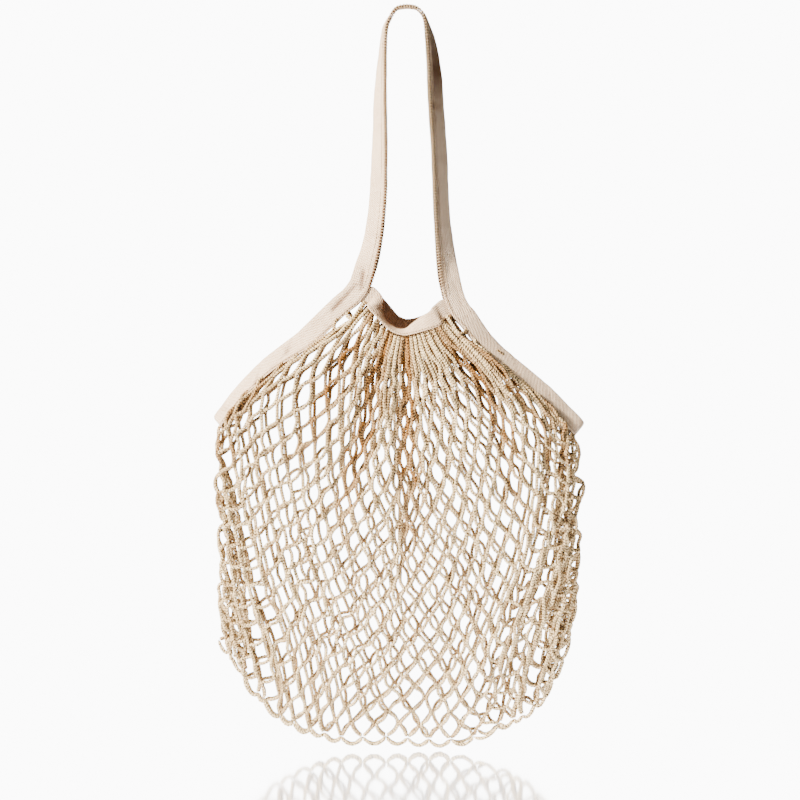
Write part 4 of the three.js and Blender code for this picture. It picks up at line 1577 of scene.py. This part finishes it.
@dataclass
class RibbonPieces:
    """The tapes, the mouth's bands and their sewing.

    Real thread is about 0.3 mm thick, too fine to show, so it is drawn 1 mm thick.

    Attributes:
        tapes: front and back tape.
        bands: front and back band of the mouth.
        whole_front: the front tape with its turned corners.
        library: the materials.
        thread_radius: half the drawn thread's thickness, in millimetres like all that follow.
        thread_sides: points round its section.
        stitch_length: length of a stitch.
        stitch_pitch: from one stitch to the next.
        binding_inset: a line's distance from the lower edge of a tape along the slits.
        strap_inset: the same on the strap.
        band_inset: the same on a band.
        serge_pitch: from one loop over the strap's edge to the next.
        serge_reach: how far in from the edge a loop starts.
        serge_past: how far it stands out past the edge.
        serge_slant: how far it leans along the strap, a share of the pitch.
        strap_margin: stations at each end of the strap that its stitches leave out.
    """

    tapes: tuple[Ribbon, Ribbon]
    bands: tuple[Ribbon, Ribbon]
    whole_front: Ribbon
    library: Library
    thread_radius: float = 0.5
    thread_sides: int = 6
    stitch_length: float = 2.5
    stitch_pitch: float = 3.4
    binding_inset: float = 2.4
    strap_inset: float = 6.0
    band_inset: float = 2.2
    serge_pitch: float = 3.0
    serge_reach: float = 4.2
    serge_past: float = 0.45
    serge_slant: float = 0.7
    strap_margin: int = 4

    def make(self) -> None:
        """Builds the four ribbons, the serged edge and the lines of stitches."""
        pieces = []
        tape = TAPE_WIDTH, TAPE, "tape"
        band = BAND_WIDTH, BAND, "band"
        # The last numbers of each row are the painted shade on the ribbon's front and back faces, on
        # those that face into the bag.
        for name, node, ribbon, (width, finish, slot), inner in (
            ("front_tape_cloth", "front_tape", self.whole_front, tape, (0, 0.25)),
            ("back_tape_cloth", "back_tape", self.tapes[1], tape, (0.25, 0)),
            ("front_band_cloth", "front_mouth_band", self.bands[0], band, (0, 0.7)),
            ("back_band_cloth", "back_mouth_band", self.bands[1], band, (0.8, 0)),
        ):
            wave = cloth_wave(ribbon, width, 3) * (0.4 if slot == "band" else 1.0)
            if slot == "band":
                shade = band_shade(ribbon, 0.9 if name.startswith("front") else 0.0)
            else:
                shade = tape_shade(ribbon)
            surface = ribbon_surface(ribbon, width, wave, inner, shade)
            piece = build(name, surface, self.library.get(finish))
            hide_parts(node)
            pieces.append((piece, ribbon, width))
        for piece, ribbon, width in pieces:
            round(ribbon.length() * MM, 3)
        for name, surface, slot in (
            ("serged_edge", self.serging(), "tape"),
            ("tape_stitches", self.tape_stitches(), "tape"),
            ("band_stitches", self.band_stitches(), "band"),
        ):
            build(name, surface, self.library.get(THREAD))

    def strap(self) -> tuple[int, int]:
        """First and last station of the strap proper."""
        free = np.flatnonzero(self.tapes[0].column < 0)
        return int(free[0]) + self.strap_margin, int(free[-1]) - self.strap_margin

    def serging(self) -> Surface:
        """Loops of thread over the strap's inner edge, round both layers.

        With a from 0 to a half turn a loop's place is -R sin(a)^0.7 across and -h |cos a|^(1/2),
        with the sign of cos a, along the normal: out over the front face, past the edge and back
        over the other face, slanted by a share of the pitch.

        Returns:
            The loops.
        """
        front = self.tapes[0].sample(self.serge_pitch, *self.strap())
        along = unit(np.gradient(front.edge, axis=0))
        a = np.linspace(0, np.pi, 10)
        centre = front.edge + front.back * front.apart[:, None] / 2
        centre = centre + front.across * self.serge_reach
        reach = self.serge_reach + self.serge_past
        thick = front.apart / 2 + TAPE_THICKNESS / 2 + 0.18
        high = np.sign(np.cos(a)) * np.sqrt(np.abs(np.cos(a)))
        paths = (
            centre[:, None]
            - np.sin(a)[None, :, None] ** 0.7 * reach * front.across[:, None]
            - (high[None, :, None] * thick[:, None, None]) * front.back[:, None]
            + (a / np.pi - 0.5)[None, :, None] * self.serge_pitch * self.serge_slant * along[:, None]
        )
        return tubes(paths, 1.2 * self.thread_radius, self.thread_sides)

    def line(self, ribbon: Ribbon, inset: float, way: float, first: int, last: int) -> np.ndarray:
        """Paths of one line of stitches.

        A stitch lies along the tape and rises from its face by h sin(pi t)^0.6.

        Args:
            ribbon: the tape.
            inset: the line's distance from the lower edge.
            way: -1 on the front face and 1 on the back face.
            first: the first station.
            last: the last station.

        Returns:
            Points by stitch.
        """
        at = ribbon.sample(self.stitch_pitch, first, last)
        along = unit(np.gradient(at.edge, axis=0))
        t = np.linspace(0, 1, 7)
        up = way * (TAPE_THICKNESS / 2 + 0.30 * np.sin(np.pi * t) ** 0.6 - 0.12)
        return (
            at.edge[:, None]
            + inset * at.across[:, None]
            + (t - 0.5)[None, :, None] * self.stitch_length * along[:, None]
            + up[None, :, None] * at.back[:, None]
        )

    def tape_stitches(self) -> Surface:
        """Stitches along the bindings of both tapes and along the strap's inner edge.

        Returns:
            The stitches.
        """
        front, back = self.tapes
        first, last = self.strap()
        end = len(front.edge)
        lines = [
            self.line(tape, inset, way, start, stop)
            for inset, spans in (
                (self.binding_inset, ((0, first), (last, end))),
                (self.strap_inset, ((first, last),)),
            )
            for tape, way in ((front, -1.0), (back, 1.0))
            for start, stop in spans
        ]
        return tubes(np.concatenate(lines), self.thread_radius, self.thread_sides)

    def band_stitches(self) -> Surface:
        """Stitches along the lower edges of the bands, on their outer and inner faces.

        Returns:
            The stitches.
        """
        lines = []
        for band, way in zip(self.bands, (-1.0, 1.0), strict=True):
            span = FINER, len(band.edge) - FINER
            lines += [self.line(band, self.band_inset, face, *span) for face in (way, -way)]
        return tubes(np.concatenate(lines), self.thread_radius, self.thread_sides)


@dataclass(frozen=True)
class Studio:
    """The floor, the light and the camera, in metres.

    Attributes:
        white: radiance of the white surroundings.
        room_light: the light that they cast on the bag.
        lamp_colour: the lamps' warm white.
        lamp_aim: the height that the lamps point at.
        floor_gap: from the net's lowest line to the floor.
        floor_half: half the floor's side.
        mirror: the floor's mirrored share beside the bag.
        fade_from: how far from the bag the mirror starts to fade.
        fade_to: how far off it is gone.
        lens_mm: the lens, in millimetres.
        half_view: half of what the picture shows at the bag.
        view_centre: x and z of the picture's middle.
        camera_lift: how far the camera looks down, in degrees.
    """

    white: float = 11.0
    room_light: float = 0.1
    lamp_colour: tuple[float, float, float] = (1.0, 0.945, 0.84)
    lamp_aim: float = -0.4
    floor_gap: float = 0.003
    floor_half: float = 6.0
    mirror: float = 0.9
    fade_from: float = 0.25
    fade_to: float = 1.1
    lens_mm: float = 100.0
    half_view: float = 0.416
    view_centre: tuple[float, float] = (-0.0052, -0.4035)
    camera_lift: float = 3.0

    def floor(self) -> None:
        """The pale floor under the bag, fading to plain white."""
        mesh = bpy.data.meshes.new("floor")
        z = -(STRAP_DROP + NET_HEIGHT) * MM - self.floor_gap
        half = self.floor_half
        square = [(x * half, y * half, z) for x, y in ((-1, -1), (1, -1), (1, 1), (-1, 1))]
        mesh.from_pydata(square, [], [(0, 1, 2, 3)])
        material = bpy.data.materials.new("floor")
        n = Nodes(material)
        coords = n.add("ShaderNodeTexCoord").outputs["Object"]
        flat = n.add("ShaderNodeVectorMath", {0: coords, 1: (1.0, 1.0, 0.0)}, operation="MULTIPLY")
        far = n.add("ShaderNodeVectorMath", {0: flat.outputs[0]}, operation="LENGTH").outputs[1]
        fade = n.add(
            "ShaderNodeMapRange",
            {"Value": far, "From Min": self.fade_from, "From Max": self.fade_to},
            interpolation_type="SMOOTHSTEP",
        )
        # Lacquered board: a soft mirror near the bag, and nothing but white farther off.
        mirror = n.add("ShaderNodeBsdfGlossy", {"Color": (1, 1, 1, 1), "Roughness": 0.09})
        white = n.maths("MULTIPLY", n.seen(), self.white)
        plain = n.add("ShaderNodeEmission", {"Color": (1, 1, 1, 1), "Strength": white})
        amount = n.maths("MULTIPLY_ADD", fade.outputs[0], -self.mirror, self.mirror)
        mixed = n.add("ShaderNodeMixShader", {0: amount, 1: plain.outputs[0], 2: mirror.outputs[0]})
        n.add("ShaderNodeOutputMaterial", {"Surface": mixed.outputs[0]})
        mesh.materials.append(material)
        piece = bpy.data.objects.new("floor", mesh)
        bpy.context.scene.collection.objects.link(piece)

    def light(self) -> None:
        """A white room, a hard key lamp from the left, and weak lamps in front and above."""
        world = bpy.data.worlds.new("studio")
        bpy.context.scene.world = world
        n = Nodes(world)
        soft, white = (
            n.add("ShaderNodeBackground", {"Color": colour, "Strength": strength}).outputs[0]
            for colour, strength in (((1, 0.98, 0.95, 1), self.room_light), ((1, 1, 1, 1), self.white))
        )
        mixed = n.add("ShaderNodeMixShader", {0: n.seen(), 1: soft, 2: white})
        n.add("ShaderNodeOutputWorld", {"Surface": mixed.outputs[0]})
        for name, place, size, energy in (
            ("key", (-1.8, -1.3, 0.9), 0.3, 420.0),
            ("front", (-0.4, -2.4, 0.4), 1.2, 8.0),
            ("top", (-0.5, -0.2, 1.5), 0.6, 30.0),
        ):
            lamp = bpy.data.lights.new(name, "AREA")
            lamp.size = size
            lamp.energy = energy
            lamp.color = self.lamp_colour
            thing = bpy.data.objects.new(name, lamp)
            bpy.context.scene.collection.objects.link(thing)
            thing.visible_glossy = False
            thing.location = place
            aim = np.array([0.0, 0.0, self.lamp_aim]) - np.array(place)
            yaw = math.atan2(aim[1], aim[0])
            tip = math.atan2(-aim[2], math.hypot(aim[0], aim[1]))
            thing.rotation_euler = (math.pi / 2 - tip, 0.0, yaw - math.pi / 2)

    def camera(self) -> None:
        """A long lens straight in front and a little above, 1.04 mm of the bag to a pixel."""
        lens = bpy.data.cameras.new("camera")
        lens.lens = self.lens_mm
        lens.clip_end = 50.0
        away = self.half_view / math.tan(math.atan(lens.sensor_width / 2 / lens.lens))
        lift = math.radians(self.camera_lift)
        thing = bpy.data.objects.new("camera", lens)
        bpy.context.scene.collection.objects.link(thing)
        x, z = self.view_centre
        thing.location = (x, -away * math.cos(lift), z + away * math.sin(lift))
        thing.rotation_euler = (math.pi / 2 - lift, 0.0, 0.0)
        bpy.context.scene.camera = thing


def main() -> None:
    """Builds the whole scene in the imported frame."""
    logging.basicConfig(level=logging.INFO, format="%(name)s %(message)s")
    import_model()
    library = Library()
    front = front_tape()
    tapes = (front, back_tape(front))
    bands = (mouth_band(front, -1.0).refined(FINER), mouth_band(front, 1.0).refined(FINER))
    whole_front = with_corners(front).refined(FINER)
    tapes = (tapes[0].refined(FINER), tapes[1].refined(FINER))
    net = Net.hang(tapes, bands)
    NetPieces(net, library).make()
    RibbonPieces(tapes, bands, whole_front, library).make()
    studio = Studio()
    studio.floor()
    studio.light()
    studio.camera()


if __name__ == "__main__":
    main()
